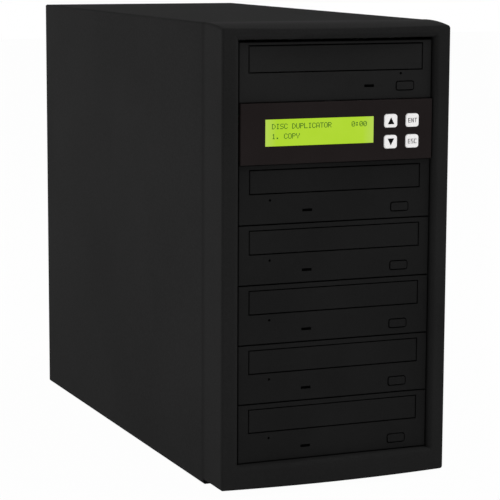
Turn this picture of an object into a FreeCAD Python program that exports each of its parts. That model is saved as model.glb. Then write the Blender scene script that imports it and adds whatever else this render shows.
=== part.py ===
import FreeCAD, Part
import math
import os
import Sketcher
from FreeCAD import Rotation, Vector

# Disc duplicator tower: a source drive, a control panel and five burner drives
# stacked in a steel case. X points right, the front faces -Y, Z points up and
# the rubber feet stand on z = 0. All sizes are in millimetres.

os.makedirs("parts", exist_ok=True)
doc = FreeCAD.newDocument("DiscDuplicator")
sheet = doc.addObject("Spreadsheet::Sheet", "Sizes")


class Size:
    """A length that keeps its value and the sheet formula that gives it."""

    def __init__(self, text, value):
        self.text = text
        self.value = value

    def __add__(self, other):
        other = as_size(other)
        return Size(f"({self.text} + {other.text})", self.value + other.value)

    def __sub__(self, other):
        other = as_size(other)
        return Size(f"({self.text} - {other.text})", self.value - other.value)

    def __mul__(self, other):
        other = as_size(other)
        return Size(f"({self.text} * {other.text})", self.value * other.value)

    def __truediv__(self, other):
        other = as_size(other)
        return Size(f"({self.text} / {other.text})", self.value / other.value)

    def __neg__(self):
        return self * -1

    def chord_half(self, offset):
        """Half the chord of a circle of this radius, cut at the given offset."""
        text = f"sqrt({self.text} ^ 2 - {offset.text} ^ 2)"
        return Size(text, math.sqrt(self.value ** 2 - offset.value ** 2))


def as_size(number):
    if isinstance(number, Size):
        return number
    return Size(f"({number})", float(number))


sheet_row = 0


def size(alias, number, note):
    """Write one driving size into the sheet and return it."""
    global sheet_row
    sheet_row += 1
    sheet.set(f"A{sheet_row}", note)
    sheet.set(f"B{sheet_row}", str(number))
    sheet.setAlias(f"B{sheet_row}", alias)
    return Size(f"Sizes.{alias}", float(number))


# Case
case_depth = size("case_depth", 418.8, "middle of the bezel face to the rear screw heads")
bay_pitch = size("bay_pitch", 42.5, "height of one drive bay")
opening_side_gap = size("opening_side_gap", 1.25, "gap beside a faceplate")
opening_top_gap = size("opening_top_gap", 1.6, "gap above the top faceplate")
opening_bottom_gap = size("opening_bottom_gap", 0.3, "gap below the bottom bay")
frame_side = size("frame_side", 12.7, "width of the bezel frame beside the bays")
frame_bottom = size("frame_bottom", 17.5, "height of the bezel frame below the bays")
frame_top = size("frame_top", 10.8, "height of the bezel frame above the bays")
bezel_lift = size("bezel_lift", 5, "clear height under the bezel")
foot_top_radius = size("foot_top_radius", 9, "foot radius at the case")
foot_floor_radius = size("foot_floor_radius", 7.5, "foot radius at the table")
foot_side_inset = size("foot_side_inset", 26, "foot centre in from the case side")
foot_front_inset = size("foot_front_inset", 62, "front foot centre behind the bezel's ends")
foot_rear_inset = size("foot_rear_inset", 34, "rear foot centre ahead of the rear")

# Front bezel
bezel_bow = size("bezel_bow", 5.2, "middle of the bezel face ahead of its ends")
bezel_depth = size("bezel_depth", 36, "ends of the bezel face to its rear rim")
bezel_wall = size("bezel_wall", 3, "bezel side wall")
bezel_top_wall = size("bezel_top_wall", 5.5, "bezel top wall under the crown")
bezel_face = size("bezel_face", 3, "bezel front wall at its ends")
crown_length = size("crown_length", 32.5, "sloping part of the top behind the bezel's ends")
crown_radius = size("crown_radius", 170, "curve of the sloping part of the top")
bezel_inner_radius = size("bezel_inner_radius", 4, "corners inside the bezel")
bezel_brow_radius = size("bezel_brow_radius", 2.5, "top front edge of the bezel")
bezel_edge_radius = size("bezel_edge_radius", 2, "other outer edges of the bezel")
opening_edge_radius = size("opening_edge_radius", 3.4, "front edges of the bay opening")
collar_wall = size("collar_wall", 2, "wall behind the bay opening edge")
collar_depth = size("collar_depth", 12, "ends of the bezel face to the collar's end")
hook_gap = size("hook_gap", 2.5, "collar to a snap hook")
hook_thickness = size("hook_thickness", 2, "snap hook leg thickness")
hook_width = size("hook_width", 10, "snap hook width")
hook_barb = size("hook_barb", 1.2, "reach of the barb of a snap hook")
hook_tip = size("hook_tip", 4, "length of the barb of a snap hook")
hook_end_inset = size("hook_end_inset", 36, "end hooks in from the ends of the opening")

# Sheet metal
cover_sheet = size("cover_sheet", 1, "cover sheet thickness")
cover_inset = size("cover_inset", 1, "cover set in from the bezel's sides")
cover_sink = size("cover_sink", 0.2, "cover below the top of the bezel")
cover_drop = size("cover_drop", 3.7, "cover below the underside of the bezel")
cover_bend = size("cover_bend", 1.6, "outside bend radius of the cover")
cover_lip = size("cover_lip", 10, "lip of the cover turned in under the floor")
cover_flange = size("cover_flange", 12, "flange of the cover turned in at the rear")
seam_gap = size("seam_gap", 0.8, "gap between bezel and cover")
chassis_sheet = size("chassis_sheet", 1, "chassis sheet thickness")
chassis_fit = size("chassis_fit", 0.3, "clearance of the chassis inside the cover")
chassis_bend = size("chassis_bend", 1.5, "outside bend radius of the chassis")
floor_flange = size("floor_flange", 12, "height of the flanges along the floor")
flange_relief = size("flange_relief", 1, "floor flanges behind the front flanges of the brackets")
bracket_sheet = size("bracket_sheet", 1.2, "drive bracket sheet thickness")
bracket_depth = size("bracket_depth", 146, "length of a drive bracket")
bracket_flange = size("bracket_flange", 9.5, "top and bottom flange of a drive bracket")
window_front = size("window_front", 24, "bracket front to its windows")
window_length = size("window_length", 96, "length of a bracket window")
window_height = size("window_height", 22, "height of a bracket window")

# Screws
screw_head = size("screw_head", 2.4, "screw head height")
screw_head_radius = size("screw_head_radius", 3.6, "screw head radius over corners")
screw_shank_radius = size("screw_shank_radius", 1.6, "screw shank radius")
screw_length = size("screw_length", 6, "screw shank length")
screw_fit = size("screw_fit", 0.2, "radial clearance of a screw in its hole")
cover_screw_inset = size("cover_screw_inset", 36, "end cover screws in from the cover's ends")
supply_screw_side = size("supply_screw_side", 4.5, "supply screws in from its sides")
supply_screw_end = size("supply_screw_end", 7, "supply screws in from its top and bottom")

# Drives
faceplate_width = size("faceplate_width", 148, "width of a faceplate")
faceplate_gap = size("faceplate_gap", 0.9, "gap between neighbouring faceplates")
faceplate_thickness = size("faceplate_thickness", 5, "faceplate thickness")
faceplate_edge = size("faceplate_edge", 0.6, "front edge rounding of a faceplate")
drive_recess = size("drive_recess", 2.8, "faceplates behind the ends of the bezel face")
drive_width = size("drive_width", 146, "width of a drive housing")
drive_gap = size("drive_gap", 1.3, "gap between neighbouring drive housings")
drive_depth = size("drive_depth", 166, "length of a drive housing")
drive_sheet = size("drive_sheet", 1, "drive housing sheet thickness")
slide_fit = size("slide_fit", 0.3, "clearance between moving and fixed plastic")
door_gap = size("door_gap", 0.8, "gap round a tray front")
door_thickness = size("door_thickness", 4, "tray front thickness")
door_edge = size("door_edge", 0.5, "front edge rounding of a tray front")
door_width = size("door_width", 131.3, "burner tray front width")
door_height = size("door_height", 16.1, "burner tray front height")
door_top_inset = size("door_top_inset", 4.3, "burner tray front below the top of the bay")
source_door_width = size("source_door_width", 132.9, "source tray front width")
source_door_height = size("source_door_height", 17.9, "source tray front height")
source_door_top_inset = size("source_door_top_inset", 3.1, "source tray front below the top of the bay")
button_width = size("button_width", 13.1, "eject button width")
button_height = size("button_height", 5.5, "eject button height")
button_radius = size("button_radius", 1.2, "eject button corners")
button_gap = size("button_gap", 0.8, "gap round an eject button")
button_proud = size("button_proud", 0.5, "eject button ahead of the faceplate")
button_flange = size("button_flange", 1.5, "flange round an eject button")
button_flange_depth = size("button_flange_depth", 1, "flange thickness of an eject button")
button_x = size("button_x", 50.2, "burner eject button right of centre")
button_z = size("button_z", 8.3, "burner eject button above the bay floor")
source_button_x = size("source_button_x", 53.2, "source eject button right of centre")
source_button_z = size("source_button_z", 9.7, "source eject button above the bay floor")
light_width = size("light_width", 7.4, "activity light width")
light_height = size("light_height", 1.8, "activity light height")
light_depth = size("light_depth", 7, "activity light length")
light_fit = size("light_fit", 0.1, "clearance round an activity light")
light_recess = size("light_recess", 0.3, "activity light behind the faceplate")
light_x = size("light_x", -22, "burner light right of centre")
light_z = size("light_z", 9.1, "burner light above the bay floor")
source_light_x = size("source_light_x", 25, "source light right of centre")
source_light_z = size("source_light_z", 10.2, "source light above the bay floor")
pin_hole_radius = size("pin_hole_radius", 0.9, "emergency eject hole radius")
pin_hole_x = size("pin_hole_x", -50.5, "burner emergency hole right of centre")
pin_hole_drop = size("pin_hole_drop", 5, "burner emergency hole below the tray front")
source_pin_hole_x = size("source_pin_hole_x", 49.8, "source emergency hole right of centre")
source_pin_hole_drop = size("source_pin_hole_drop", 3, "source emergency hole below the tray front")

# Disc trays
tray_width = size("tray_width", 128, "tray width")
tray_length = size("tray_length", 154, "tray length")
tray_height = size("tray_height", 9, "tray height")
tray_rise = size("tray_rise", 1.1, "tray underside above the foot of a burner tray front")
tray_corner = size("tray_corner", 6, "rear corners of the tray")
disc_seat_radius = size("disc_seat_radius", 60.8, "large disc seat radius")
disc_seat_depth = size("disc_seat_depth", 3, "large disc seat depth")
small_seat_radius = size("small_seat_radius", 40.7, "small disc seat radius")
small_seat_depth = size("small_seat_depth", 1.4, "small disc seat depth below the large one")
disc_centre = size("disc_centre", 68, "tray front end to the disc centre")
pickup_radius = size("pickup_radius", 19, "tray opening radius round the spindle")
pickup_length = size("pickup_length", 62, "tray opening behind the spindle")
tray_hollow_depth = size("tray_hollow_depth", 2.4, "hollow under the tray")
tray_hollow_rim = size("tray_hollow_rim", 6, "rim round the hollow under the tray")
finger_radius = size("finger_radius", 15, "finger notch radius")
finger_x = size("finger_x", 48, "finger notches out from the centre")
ledge_reach = size("ledge_reach", 6, "ledge of the housing under the tray edge")
ledge_height = size("ledge_height", 3, "thickness of the ledge under the tray")

# Disc motors
motor_boss_radius = size("motor_boss_radius", 14, "motor base radius")
spindle_clear = size("spindle_clear", 3.85, "disc hub below the tray")
motor_shaft_radius = size("motor_shaft_radius", 1.5, "motor shaft radius")
motor_shaft_fit = size("motor_shaft_fit", 0.08, "radial clearance of the motor shaft")
motor_shaft_base = size("motor_shaft_base", 3, "motor base under the shaft hole")
motor_cup_radius = size("motor_cup_radius", 13, "motor rotor radius")
motor_cup_height = size("motor_cup_height", 5, "motor rotor height")
disc_hub_radius = size("disc_hub_radius", 7.3, "disc hub radius")
disc_hub_height = size("disc_hub_height", 3.4, "disc hub height")

# Control panel
panel_recess = size("panel_recess", 0.3, "control panel behind the ends of the bezel face")
panel_fit = size("panel_fit", 0.3, "gap between the control panel and its neighbours")
panel_face = size("panel_face", 3, "control panel front wall")
panel_arm_wall = size("panel_arm_wall", 2, "side arm wall")
panel_arm_height = size("panel_arm_height", 24, "side arm height")
panel_arm_lift = size("panel_arm_lift", 4, "side arm above the bay floor")
panel_arm_length = size("panel_arm_length", 136, "side arm length behind the panel")
arm_ledge_reach = size("arm_ledge_reach", 6, "ledge of an arm under the board")
arm_ledge_height = size("arm_ledge_height", 2, "thickness of the ledge of an arm")
screen_width = size("screen_width", 83.4, "screen window width")
screen_height = size("screen_height", 19, "screen window height")
screen_x = size("screen_x", -13.7, "screen centre right of centre")
screen_z = size("screen_z", 21.9, "screen centre above the bay floor")
screen_fit = size("screen_fit", 0.15, "clearance round the screen glass")
screen_recess = size("screen_recess", 0.4, "screen glass behind the panel face")
screen_border = size("screen_border", 4.5, "screen module beyond the window")
screen_module = size("screen_module", 6, "screen module thickness")
display_height = size("display_height", 34, "display board height")
board_thickness = size("board_thickness", 1.6, "circuit board thickness")
key_width = size("key_width", 9.9, "key width")
key_height = size("key_height", 9.3, "key height")
key_radius = size("key_radius", 1.9, "key corners")
key_proud = size("key_proud", 0.7, "keys ahead of the panel")
key_edge = size("key_edge", 0.4, "front edge rounding of a key")
key_flange = size("key_flange", 1.4, "flange round a key")
key_flange_depth = size("key_flange_depth", 1, "flange thickness of a key")
key_travel = size("key_travel", 0.8, "key travel")
key_stem = size("key_stem", 4, "key stem width")
key_x = size("key_x", 49.6, "middle of the keys right of centre")
key_z = size("key_z", 20.2, "middle of the keys above the bay floor")
key_pitch_x = size("key_pitch_x", 17, "keys apart across")
key_pitch_z = size("key_pitch_z", 14.9, "keys apart upwards")
switch_width = size("switch_width", 6, "key switch width")
switch_height = size("switch_height", 3.5, "key switch height")
switch_gap = size("switch_gap", 0.1, "pressed key stem to its switch")
controller_gap = size("controller_gap", 14, "panel front wall to the controller board")
controller_length = size("controller_length", 108, "controller board length")
socket_width = size("socket_width", 14, "data socket width")
socket_height = size("socket_height", 9, "data socket height")
socket_depth = size("socket_depth", 12, "data socket length")
socket_pitch = size("socket_pitch", 18, "data sockets apart")
socket_shift = size("socket_shift", 8, "row of data sockets left of centre")
chip_width = size("chip_width", 30, "controller chip width")
chip_height = size("chip_height", 6, "controller chip and heat sink height")
cable_width = size("cable_width", 8, "data cable width")
cable_thickness = size("cable_thickness", 2, "data cable thickness")
cable_reach = size("cable_reach", 22, "cables behind the drives")
cable_bend = size("cable_bend", 6, "inside bend of a data cable")
plug_lift = size("plug_lift", 12, "plugs above the bay floor")
loom_x = size("loom_x", 60, "power loom right of centre")
loom_width = size("loom_width", 12, "power loom width")
loom_thickness = size("loom_thickness", 4, "power loom thickness")
loom_reach = size("loom_reach", 9, "power loom behind the drives")

# Power supply and fans
supply_width = size("supply_width", 150, "power supply width")
supply_depth = size("supply_depth", 140, "power supply length")
supply_sheet = size("supply_sheet", 1, "power supply sheet thickness")
supply_clear = size("supply_clear", 2, "supply fan to the lid and floor of the supply")
supply_window_side = size("supply_window_side", 9, "chassis land beside the supply window")
supply_window_end = size("supply_window_end", 3, "chassis land above and below the supply window")
fan_side = size("fan_side", 80, "fan frame width")
fan_depth = size("fan_depth", 25, "fan frame depth")
fan_wall = size("fan_wall", 2, "fan frame wall at the middle of a side")
fan_corner = size("fan_corner", 5, "fan frame corners")
fan_hole_inset = size("fan_hole_inset", 4.25, "fan screw holes in from the sides")
fan_hub_radius = size("fan_hub_radius", 16, "fan hub radius")
fan_strut = size("fan_strut", 4, "fan strut width")
fan_strut_depth = size("fan_strut_depth", 3, "fan strut depth")
fan_front_gap = size("fan_front_gap", 2, "rotor behind the front of the frame")
fan_tip_gap = size("fan_tip_gap", 1.15, "blade tips to the fan bore")
fan_blade_root_half = size("fan_blade_root_half", 5, "half the sweep of a blade root")
fan_blade_tip_half = size("fan_blade_tip_half", 9.5, "half the sweep of a blade tip")
fan_blade_thickness = size("fan_blade_thickness", 1.3, "fan blade thickness")
fan_blade_margin = size("fan_blade_margin", 2, "blades in from the ends of the hub")
fan_blade_sink = size("fan_blade_sink", 2, "blade roots sunk into the hub")
grille_inset = size("grille_inset", 2, "punched grille in from the fan bore")
grille_pitch = size("grille_pitch", 7.4, "grille slots apart")
grille_slot = size("grille_slot", 4.6, "grille slot height")
grille_bar = size("grille_bar", 3, "upright bar across the grille slots")
fan_supply_gap = size("fan_supply_gap", 19, "power supply to the lower fan")
fan_spacing = size("fan_spacing", 20, "lower fan to the upper fan")
supply_fan_x = size("supply_fan_x", -25, "supply fan axis right of centre")

# Power inlet and switch
inlet_x = size("inlet_x", 45, "inlet centre right of centre")
inlet_width = size("inlet_width", 28, "inlet body width")
inlet_height = size("inlet_height", 48, "inlet body height")
inlet_depth = size("inlet_depth", 20, "inlet body length inside the supply")
inlet_rim = size("inlet_rim", 2.5, "inlet flange beyond its body")
inlet_flange = size("inlet_flange", 1.6, "inlet flange thickness")
plug_width = size("plug_width", 24.4, "plug cavity width")
plug_height = size("plug_height", 16.8, "plug cavity height")
plug_depth = size("plug_depth", 16, "plug cavity depth")
plug_chamfer = size("plug_chamfer", 4.5, "cut corners of the plug cavity")
plug_drop = size("plug_drop", 12, "plug cavity below the inlet centre")
pin_width = size("pin_width", 2, "inlet pin width")
pin_height = size("pin_height", 4, "inlet pin height")
pin_pitch = size("pin_pitch", 14, "live pins apart")
pin_rise = size("pin_rise", 4, "earth pin above the live pins")
pin_recess = size("pin_recess", 6, "inlet pins behind the flange face")
rocker_rise = size("rocker_rise", 12, "rocker axis above the inlet centre")
rocker_width = size("rocker_width", 12.4, "rocker width")
rocker_half_height = size("rocker_half_height", 8.6, "half the rocker's height")
rocker_slot_half = size("rocker_slot_half", 9.8, "half the height of the rocker's slot")
rocker_slot_depth = size("rocker_slot_depth", 12, "depth of the rocker's slot")
rocker_axis_depth = size("rocker_axis_depth", 5, "rocker axis behind the flange face")
rocker_dip = size("rocker_dip", 5.4, "rocker axis to the dip of its face")
rocker_crest = size("rocker_crest", 6.4, "rocker axis to the ends of its face")
rocker_back = size("rocker_back", 3, "rocker axis to its back")
rocker_pin_radius = size("rocker_pin_radius", 1.5, "rocker pin radius")
rocker_pin_length = size("rocker_pin_length", 1.2, "rocker pin beyond the rocker")
rocker_pin_fit = size("rocker_pin_fit", 0.08, "radial clearance of a rocker pin")
rocker_tilt = size("rocker_tilt", 7, "rocker tilt either way in degrees")
doc.recompute()

BAY_COUNT = 7
SOURCE_BAY = BAY_COUNT - 1
PANEL_BAY = SOURCE_BAY - 1
BURNER_BAYS = tuple(reversed(range(PANEL_BAY)))
BLADE_COUNT = 7
ROUND_EDGE_LIMIT = 1e-4

# Planes that several pieces share
zero = as_size(0)
front = -case_depth / 2
rear = case_depth / 2
bezel_ends = front + bezel_bow
seam = bezel_ends + bezel_depth
cover_rear = rear - screw_head
wall_outside = cover_rear - cover_sheet
wall_inside = wall_outside - chassis_sheet
body_bottom = bezel_lift
opening_bottom = body_bottom + frame_bottom
stack_bottom = opening_bottom + opening_bottom_gap
opening_top = stack_bottom + bay_pitch * BAY_COUNT + opening_top_gap
body_top = opening_top + frame_top
opening_half = faceplate_width / 2 + opening_side_gap
bezel_half = opening_half + frame_side
cover_half = bezel_half - cover_inset
cover_inner = cover_half - cover_sheet
cover_top = body_top - cover_sink
cover_ceiling = cover_top - cover_sheet
cover_bottom = body_bottom - cover_drop
floor_bottom = cover_bottom + cover_sheet
floor_top = floor_bottom + chassis_sheet
chassis_half = cover_inner - chassis_fit
chassis_top = cover_ceiling - chassis_fit
drive_half = drive_width / 2
faceplate_height = bay_pitch - faceplate_gap
faceplate_bottom = faceplate_gap / 2
drive_height = bay_pitch - drive_gap
drive_bottom = drive_gap / 2
drive_front = bezel_ends + drive_recess
panel_front = bezel_ends + panel_recess
door_floor = bay_pitch - door_top_inset - door_height
source_door_floor = bay_pitch - source_door_top_inset - source_door_height
tray_lift = door_floor + tray_rise
supply_floor = floor_top
supply_height = fan_side + (supply_clear + supply_sheet) * 2
lower_fan_z = supply_floor + supply_height + fan_supply_gap + fan_side / 2
upper_fan_z = lower_fan_z + fan_side + fan_spacing
fan_bore_radius = fan_side / 2 - fan_wall
fan_hole_pitch = fan_side - fan_hole_inset * 2
fan_blade_tip = (fan_bore_radius - fan_tip_gap).chord_half(fan_blade_tip_half)
grille_radius = fan_bore_radius - grille_inset
screw_hole_radius = screw_shank_radius + screw_fit


def bay_floor(bay):
    """Height of the floor of one bay, counted from the bottom."""
    return stack_bottom + bay_pitch * bay


# Sketches and features

class Drawing:
    """The shapes and rules of one sketch, gathered before they are added."""

    def __init__(self):
        self.shapes = []
        self.rules = []
        self.lengths = []

    def shape(self, geometry):
        self.shapes.append(geometry)
        return len(self.shapes) - 1

    def rule(self, *terms, length=None):
        self.rules.append(Sketcher.Constraint(*terms))
        self.lengths.append(length)

    def place(self, geometry, point, across, upward):
        """Fix one point by its distances from the sketch origin."""
        if across is not None:
            self.rule("DistanceX", -1, 1, geometry, point, across.value, length=across)
        if upward is not None:
            self.rule("DistanceY", -1, 1, geometry, point, upward.value, length=upward)


def polygon(*corners):
    """A closed straight-sided outline through the given corners."""
    def draw(drawing):
        points = [Vector(across.value, upward.value, 0) for across, upward in corners]
        lines = []
        for index, point in enumerate(points):
            following = points[(index + 1) % len(points)]
            lines.append(drawing.shape(Part.LineSegment(point, following)))
        for index, line in enumerate(lines):
            drawing.rule("Coincident", line, 2, lines[(index + 1) % len(lines)], 1)
            drawing.place(line, 1, *corners[index])
    return draw


def rectangle(left, right, bottom, top):
    """A rectangle between two uprights and two levels."""
    return polygon((left, bottom), (right, bottom), (right, top), (left, top))


def block(centre_x, centre_z, width, height):
    """A rectangle given by its centre and size."""
    return rectangle(centre_x - width / 2, centre_x + width / 2,
                     centre_z - height / 2, centre_z + height / 2)


def disc(centre_x, centre_z, radius):
    """A full circle."""
    def draw(drawing):
        middle = Vector(centre_x.value, centre_z.value, 0)
        circle = drawing.shape(Part.Circle(middle, Vector(0, 0, 1), radius.value))
        drawing.place(circle, 3, centre_x, centre_z)
        drawing.rule("Radius", circle, radius.value, length=radius)
    return draw


def rounded(left, right, bottom, top, low_radius, high_radius):
    """A rectangle with rounded corners, lower and upper corners apart."""
    def draw(drawing):
        x = (left.value, right.value)
        z = (bottom.value, top.value)
        radii = (low_radius, low_radius, high_radius, high_radius)
        corners = ((0, 0, 2), (1, 0, 3), (1, 1, 0), (0, 1, 1))
        arcs = []
        quarter = math.pi / 2
        for (side, level, turns), radius in zip(corners, radii):
            inward = Vector(1 - 2 * side, 1 - 2 * level, 0) * radius.value
            middle = Vector(x[side], z[level], 0) + inward
            circle = Part.Circle(middle, Vector(0, 0, 1), radius.value)
            arc = Part.ArcOfCircle(circle, quarter * turns, quarter * (turns + 1))
            arcs.append((drawing.shape(arc), arc))
        for index, (arc, shape) in enumerate(arcs):
            following, next_shape = arcs[(index + 1) % 4]
            line = drawing.shape(Part.LineSegment(shape.EndPoint, next_shape.StartPoint))
            drawing.rule("Tangent", arc, 2, line, 1)
            drawing.rule("Tangent", line, 2, following, 1)
            if index % 2 == 0:
                drawing.rule("Horizontal", line)
                drawing.place(line, 1, None, bottom if index == 0 else top)
            else:
                drawing.rule("Vertical", line)
                drawing.place(line, 1, right if index == 1 else left, None)
            drawing.rule("Radius", arc, radii[index].value, length=radii[index])
    return draw


def arched(radius, hollow, *corners):
    """A straight-sided outline, anticlockwise, whose last side is an arc, swollen or hollow."""
    def draw(drawing):
        points = [Vector(across.value, upward.value, 0) for across, upward in corners]
        lines = []
        for point, following in zip(points, points[1:]):
            lines.append(drawing.shape(Part.LineSegment(point, following)))
        chord = points[0] - points[-1]
        sag = radius.value - math.sqrt(radius.value ** 2 - chord.Length ** 2 / 4)
        outward = Vector(chord.y, -chord.x, 0).normalize()
        middle = (points[0] + points[-1]) / 2 + outward * (-sag if hollow else sag)
        arc = drawing.shape(Part.Arc(points[-1], middle, points[0]))
        # an arc is kept anticlockwise, so a hollow one begins at the first corner
        begin, end = (2, 1) if hollow else (1, 2)
        drawing.rule("Coincident", lines[-1], 2, arc, begin)
        drawing.rule("Coincident", arc, end, lines[0], 1)
        for index, line in enumerate(lines):
            if index > 0:
                drawing.rule("Coincident", lines[index - 1], 2, line, 1)
            drawing.place(line, 1, *corners[index])
        drawing.place(lines[-1], 2, *corners[-1])
        drawing.rule("Radius", arc, radius.value, length=radius)
    return draw


def rounded_block(centre_x, centre_z, width, height, radius):
    """A rectangle with four equal rounded corners, given by centre and size."""
    return rounded(centre_x - width / 2, centre_x + width / 2,
                   centre_z - height / 2, centre_z + height / 2, radius, radius)


def make_body(label):
    body = doc.addObject("PartDesign::Body", label)
    body.Label = label
    return body


def make_sketch(body, plane, start, outlines):
    """A sketch on a plane of the body's origin, moved along its axis to start."""
    role = f"{plane}_Plane"
    support = [item for item in body.Origin.OriginFeatures if item.Role == role][0]
    sketch = body.newObject("Sketcher::SketchObject", f"{body.Name}Sketch")
    sketch.AttachmentSupport = [(support, "")]
    sketch.MapMode = "FlatFace"
    offset = -start if plane == "XZ" else start
    sketch.setExpression("AttachmentOffset.Base.z", offset.text)
    drawing = Drawing()
    for draw in outlines:
        draw(drawing)
    sketch.addGeometry(drawing.shapes, False)
    sketch.addConstraint(drawing.rules)
    for index, length in enumerate(drawing.lengths):
        if length is not None:
            sketch.setExpression(f"Constraints[{index}]", length.text)
    return sketch


def add(body, plane, start, depth, *outlines):
    """Raise outlines from start towards the positive axis."""
    sketch = make_sketch(body, plane, start, outlines)
    pad = body.newObject("PartDesign::Pad", f"{body.Name}Pad")
    pad.Profile = sketch
    pad.setExpression("Length", depth.text)
    pad.Reversed = plane == "XZ"
    return pad


def cut(body, plane, start, depth, *outlines):
    """Cut outlines from start towards the positive axis."""
    sketch = make_sketch(body, plane, start, outlines)
    pocket = body.newObject("PartDesign::Pocket", f"{body.Name}Pocket")
    pocket.Profile = sketch
    pocket.setExpression("Length", depth.text)
    pocket.Reversed = plane != "XZ"
    return pocket


def round_edges(body, radius, choose):
    """Round the edges of the body's tip that the chooser accepts."""
    doc.recompute()
    tip = body.Tip
    names = []
    for index, edge in enumerate(tip.Shape.Edges):
        if choose(edge.BoundBox):
            names.append(f"Edge{index + 1}")
    fillet = body.newObject("PartDesign::Fillet", f"{body.Name}Round")
    fillet.Base = (tip, names)
    fillet.setExpression("Radius", radius.text)
    return fillet


def in_front(level, reach=None):
    """Choose edges that lie in the plane y = level, optionally near the centre line."""
    def choose(box):
        flat = abs(box.YMin - level.value) < ROUND_EDGE_LIMIT
        flat = flat and abs(box.YMax - level.value) < ROUND_EDGE_LIMIT
        if reach is None:
            return flat
        return flat and max(abs(box.XMin), abs(box.XMax)) < reach.value + ROUND_EDGE_LIMIT
    return choose


def place(item, across, back, upward):
    """Tie the position of a piece to the sheet."""
    for axis, length in (("x", across), ("y", back), ("z", upward)):
        item.setExpression(f"Placement.Base.{axis}", length.text)


def copy_body(label, original):
    """A further body with the same shape as another one."""
    body = make_body(label)
    clone = doc.addObject("PartDesign::FeatureBase", f"{label}Clone")
    body.Group = [clone]
    clone.BaseFeature = original
    body.Tip = clone
    return body


def gather(label, members):
    """Several separate solids that make up one named piece."""
    group = doc.addObject("Part::Compound", label)
    group.Label = label
    group.Links = members
    return group


pieces = []


def keep(piece):
    pieces.append(piece)
    return piece


# Front bezel: one moulding with a bowed face, a crowned top and a deep rim, with a
# collar round the bay opening and six snap hooks that grip the drive brackets
hook_inner = opening_half + collar_wall + hook_gap
hook_outer = hook_inner + hook_thickness
hook_levels = (opening_bottom + hook_end_inset,
               (opening_bottom + opening_top) / 2,
               opening_top - hook_end_inset)


def mirrored(outline, inner, outer, *levels):
    """The same outline on the left and on the right of the centre line."""
    return [outline(-outer, -inner, *levels), outline(inner, outer, *levels)]


def on_brow(box):
    """Choose the top front edge of the bezel."""
    return box.YMin < -bezel_bow.value / 2 and box.ZMin > opening_top.value


def on_rim(box):
    """Choose the lower front edge and the edges round both sides of the bezel."""
    lower = box.YMin < -bezel_bow.value / 2 and box.ZMax < opening_bottom.value
    side = abs(max(abs(box.XMin), abs(box.XMax)) - bezel_half.value) < ROUND_EDGE_LIMIT
    side = side and box.XLength < ROUND_EDGE_LIMIT
    return lower or side and box.YMin < crown_length.value


def on_mouth(box):
    """Choose the front edges of the bay opening."""
    reach = max(abs(box.XMin), abs(box.XMax))
    return box.YMax < 0 and reach < opening_half.value + ROUND_EDGE_LIMIT


bow_radius = (bezel_half * bezel_half + bezel_bow * bezel_bow) / (bezel_bow * 2)
ahead = -bezel_bow * 2
crown_reach = crown_length - ahead
crown_low = body_top - crown_radius + crown_radius.chord_half(crown_reach)
above = body_top + bezel_wall
bezel = keep(make_body("front_bezel"))
add(bezel, "XY", body_bottom, body_top - body_bottom,
    arched(bow_radius, False, (bezel_half, zero), (bezel_half, bezel_depth),
           (-bezel_half, bezel_depth), (-bezel_half, zero)))
cut(bezel, "YZ", -bezel_half, bezel_half * 2,
    arched(crown_radius, True, (crown_length, body_top), (crown_length, above),
           (ahead, above), (ahead, crown_low)))
round_edges(bezel, bezel_brow_radius, on_brow)
round_edges(bezel, bezel_edge_radius, on_rim)
cut(bezel, "XZ", bezel_face, bezel_depth - bezel_face,
    rounded(-bezel_half + bezel_wall, bezel_half - bezel_wall, body_bottom + bezel_wall,
            body_top - bezel_top_wall, bezel_inner_radius, bezel_inner_radius))
add(bezel, "XZ", bezel_face, collar_depth - bezel_face,
    rectangle(-opening_half - collar_wall, opening_half + collar_wall,
              opening_bottom - collar_wall, opening_top + collar_wall))
cut(bezel, "XZ", ahead, collar_depth - ahead,
    rectangle(-opening_half, opening_half, opening_bottom, opening_top))
round_edges(bezel, opening_edge_radius, on_mouth)
hook_legs = []
hook_barbs = []
for level in hook_levels:
    ends = (level - hook_width / 2, level + hook_width / 2)
    hook_legs += mirrored(rectangle, hook_inner, hook_outer, *ends)
    hook_barbs += mirrored(rectangle, hook_outer, hook_outer + hook_barb, *ends)
barb_start = bezel_depth + bracket_sheet + slide_fit
add(bezel, "XZ", bezel_face, barb_start + hook_tip - bezel_face, *hook_legs)
add(bezel, "XZ", barb_start, hook_tip, *hook_barbs)
place(bezel, zero, bezel_ends, zero)

# Cover: one sheet folded over the top and both sides, with lips under the floor
# and a flange at the rear that the cover screws hold
cover_front = seam + seam_gap
cover_screw_x = cover_inner - cover_flange / 2
cover_screw_levels = (cover_bottom + cover_screw_inset,
                      (cover_bottom + cover_top) / 2,
                      cover_top - cover_screw_inset)
cover_screw_points = []
for level in cover_screw_levels:
    cover_screw_points += [(-cover_screw_x, level), (cover_screw_x, level)]
cover = keep(make_body("cover"))
inside_bend = cover_bend - cover_sheet
add(cover, "XZ", cover_front, cover_rear - cover_front,
    rounded(-cover_half, cover_half, cover_bottom, cover_top, cover_bend, cover_bend))
cut(cover, "XZ", cover_front, cover_rear - cover_sheet - cover_front,
    rounded(-cover_inner, cover_inner, floor_bottom, cover_ceiling, inside_bend, inside_bend))
cut(cover, "XZ", cover_front, cover_rear - cover_front,
    rectangle(-cover_inner + cover_lip, cover_inner - cover_lip,
              cover_bottom - cover_sheet, floor_bottom))
cut(cover, "XZ", cover_rear - cover_sheet, cover_sheet,
    rectangle(-cover_inner + cover_flange, cover_inner - cover_flange,
              cover_bottom - cover_sheet, cover_ceiling - cover_flange))
cut(cover, "XZ", cover_rear - cover_sheet, cover_sheet,
    *[disc(x, z, screw_hole_radius) for x, z in cover_screw_points])


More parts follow.
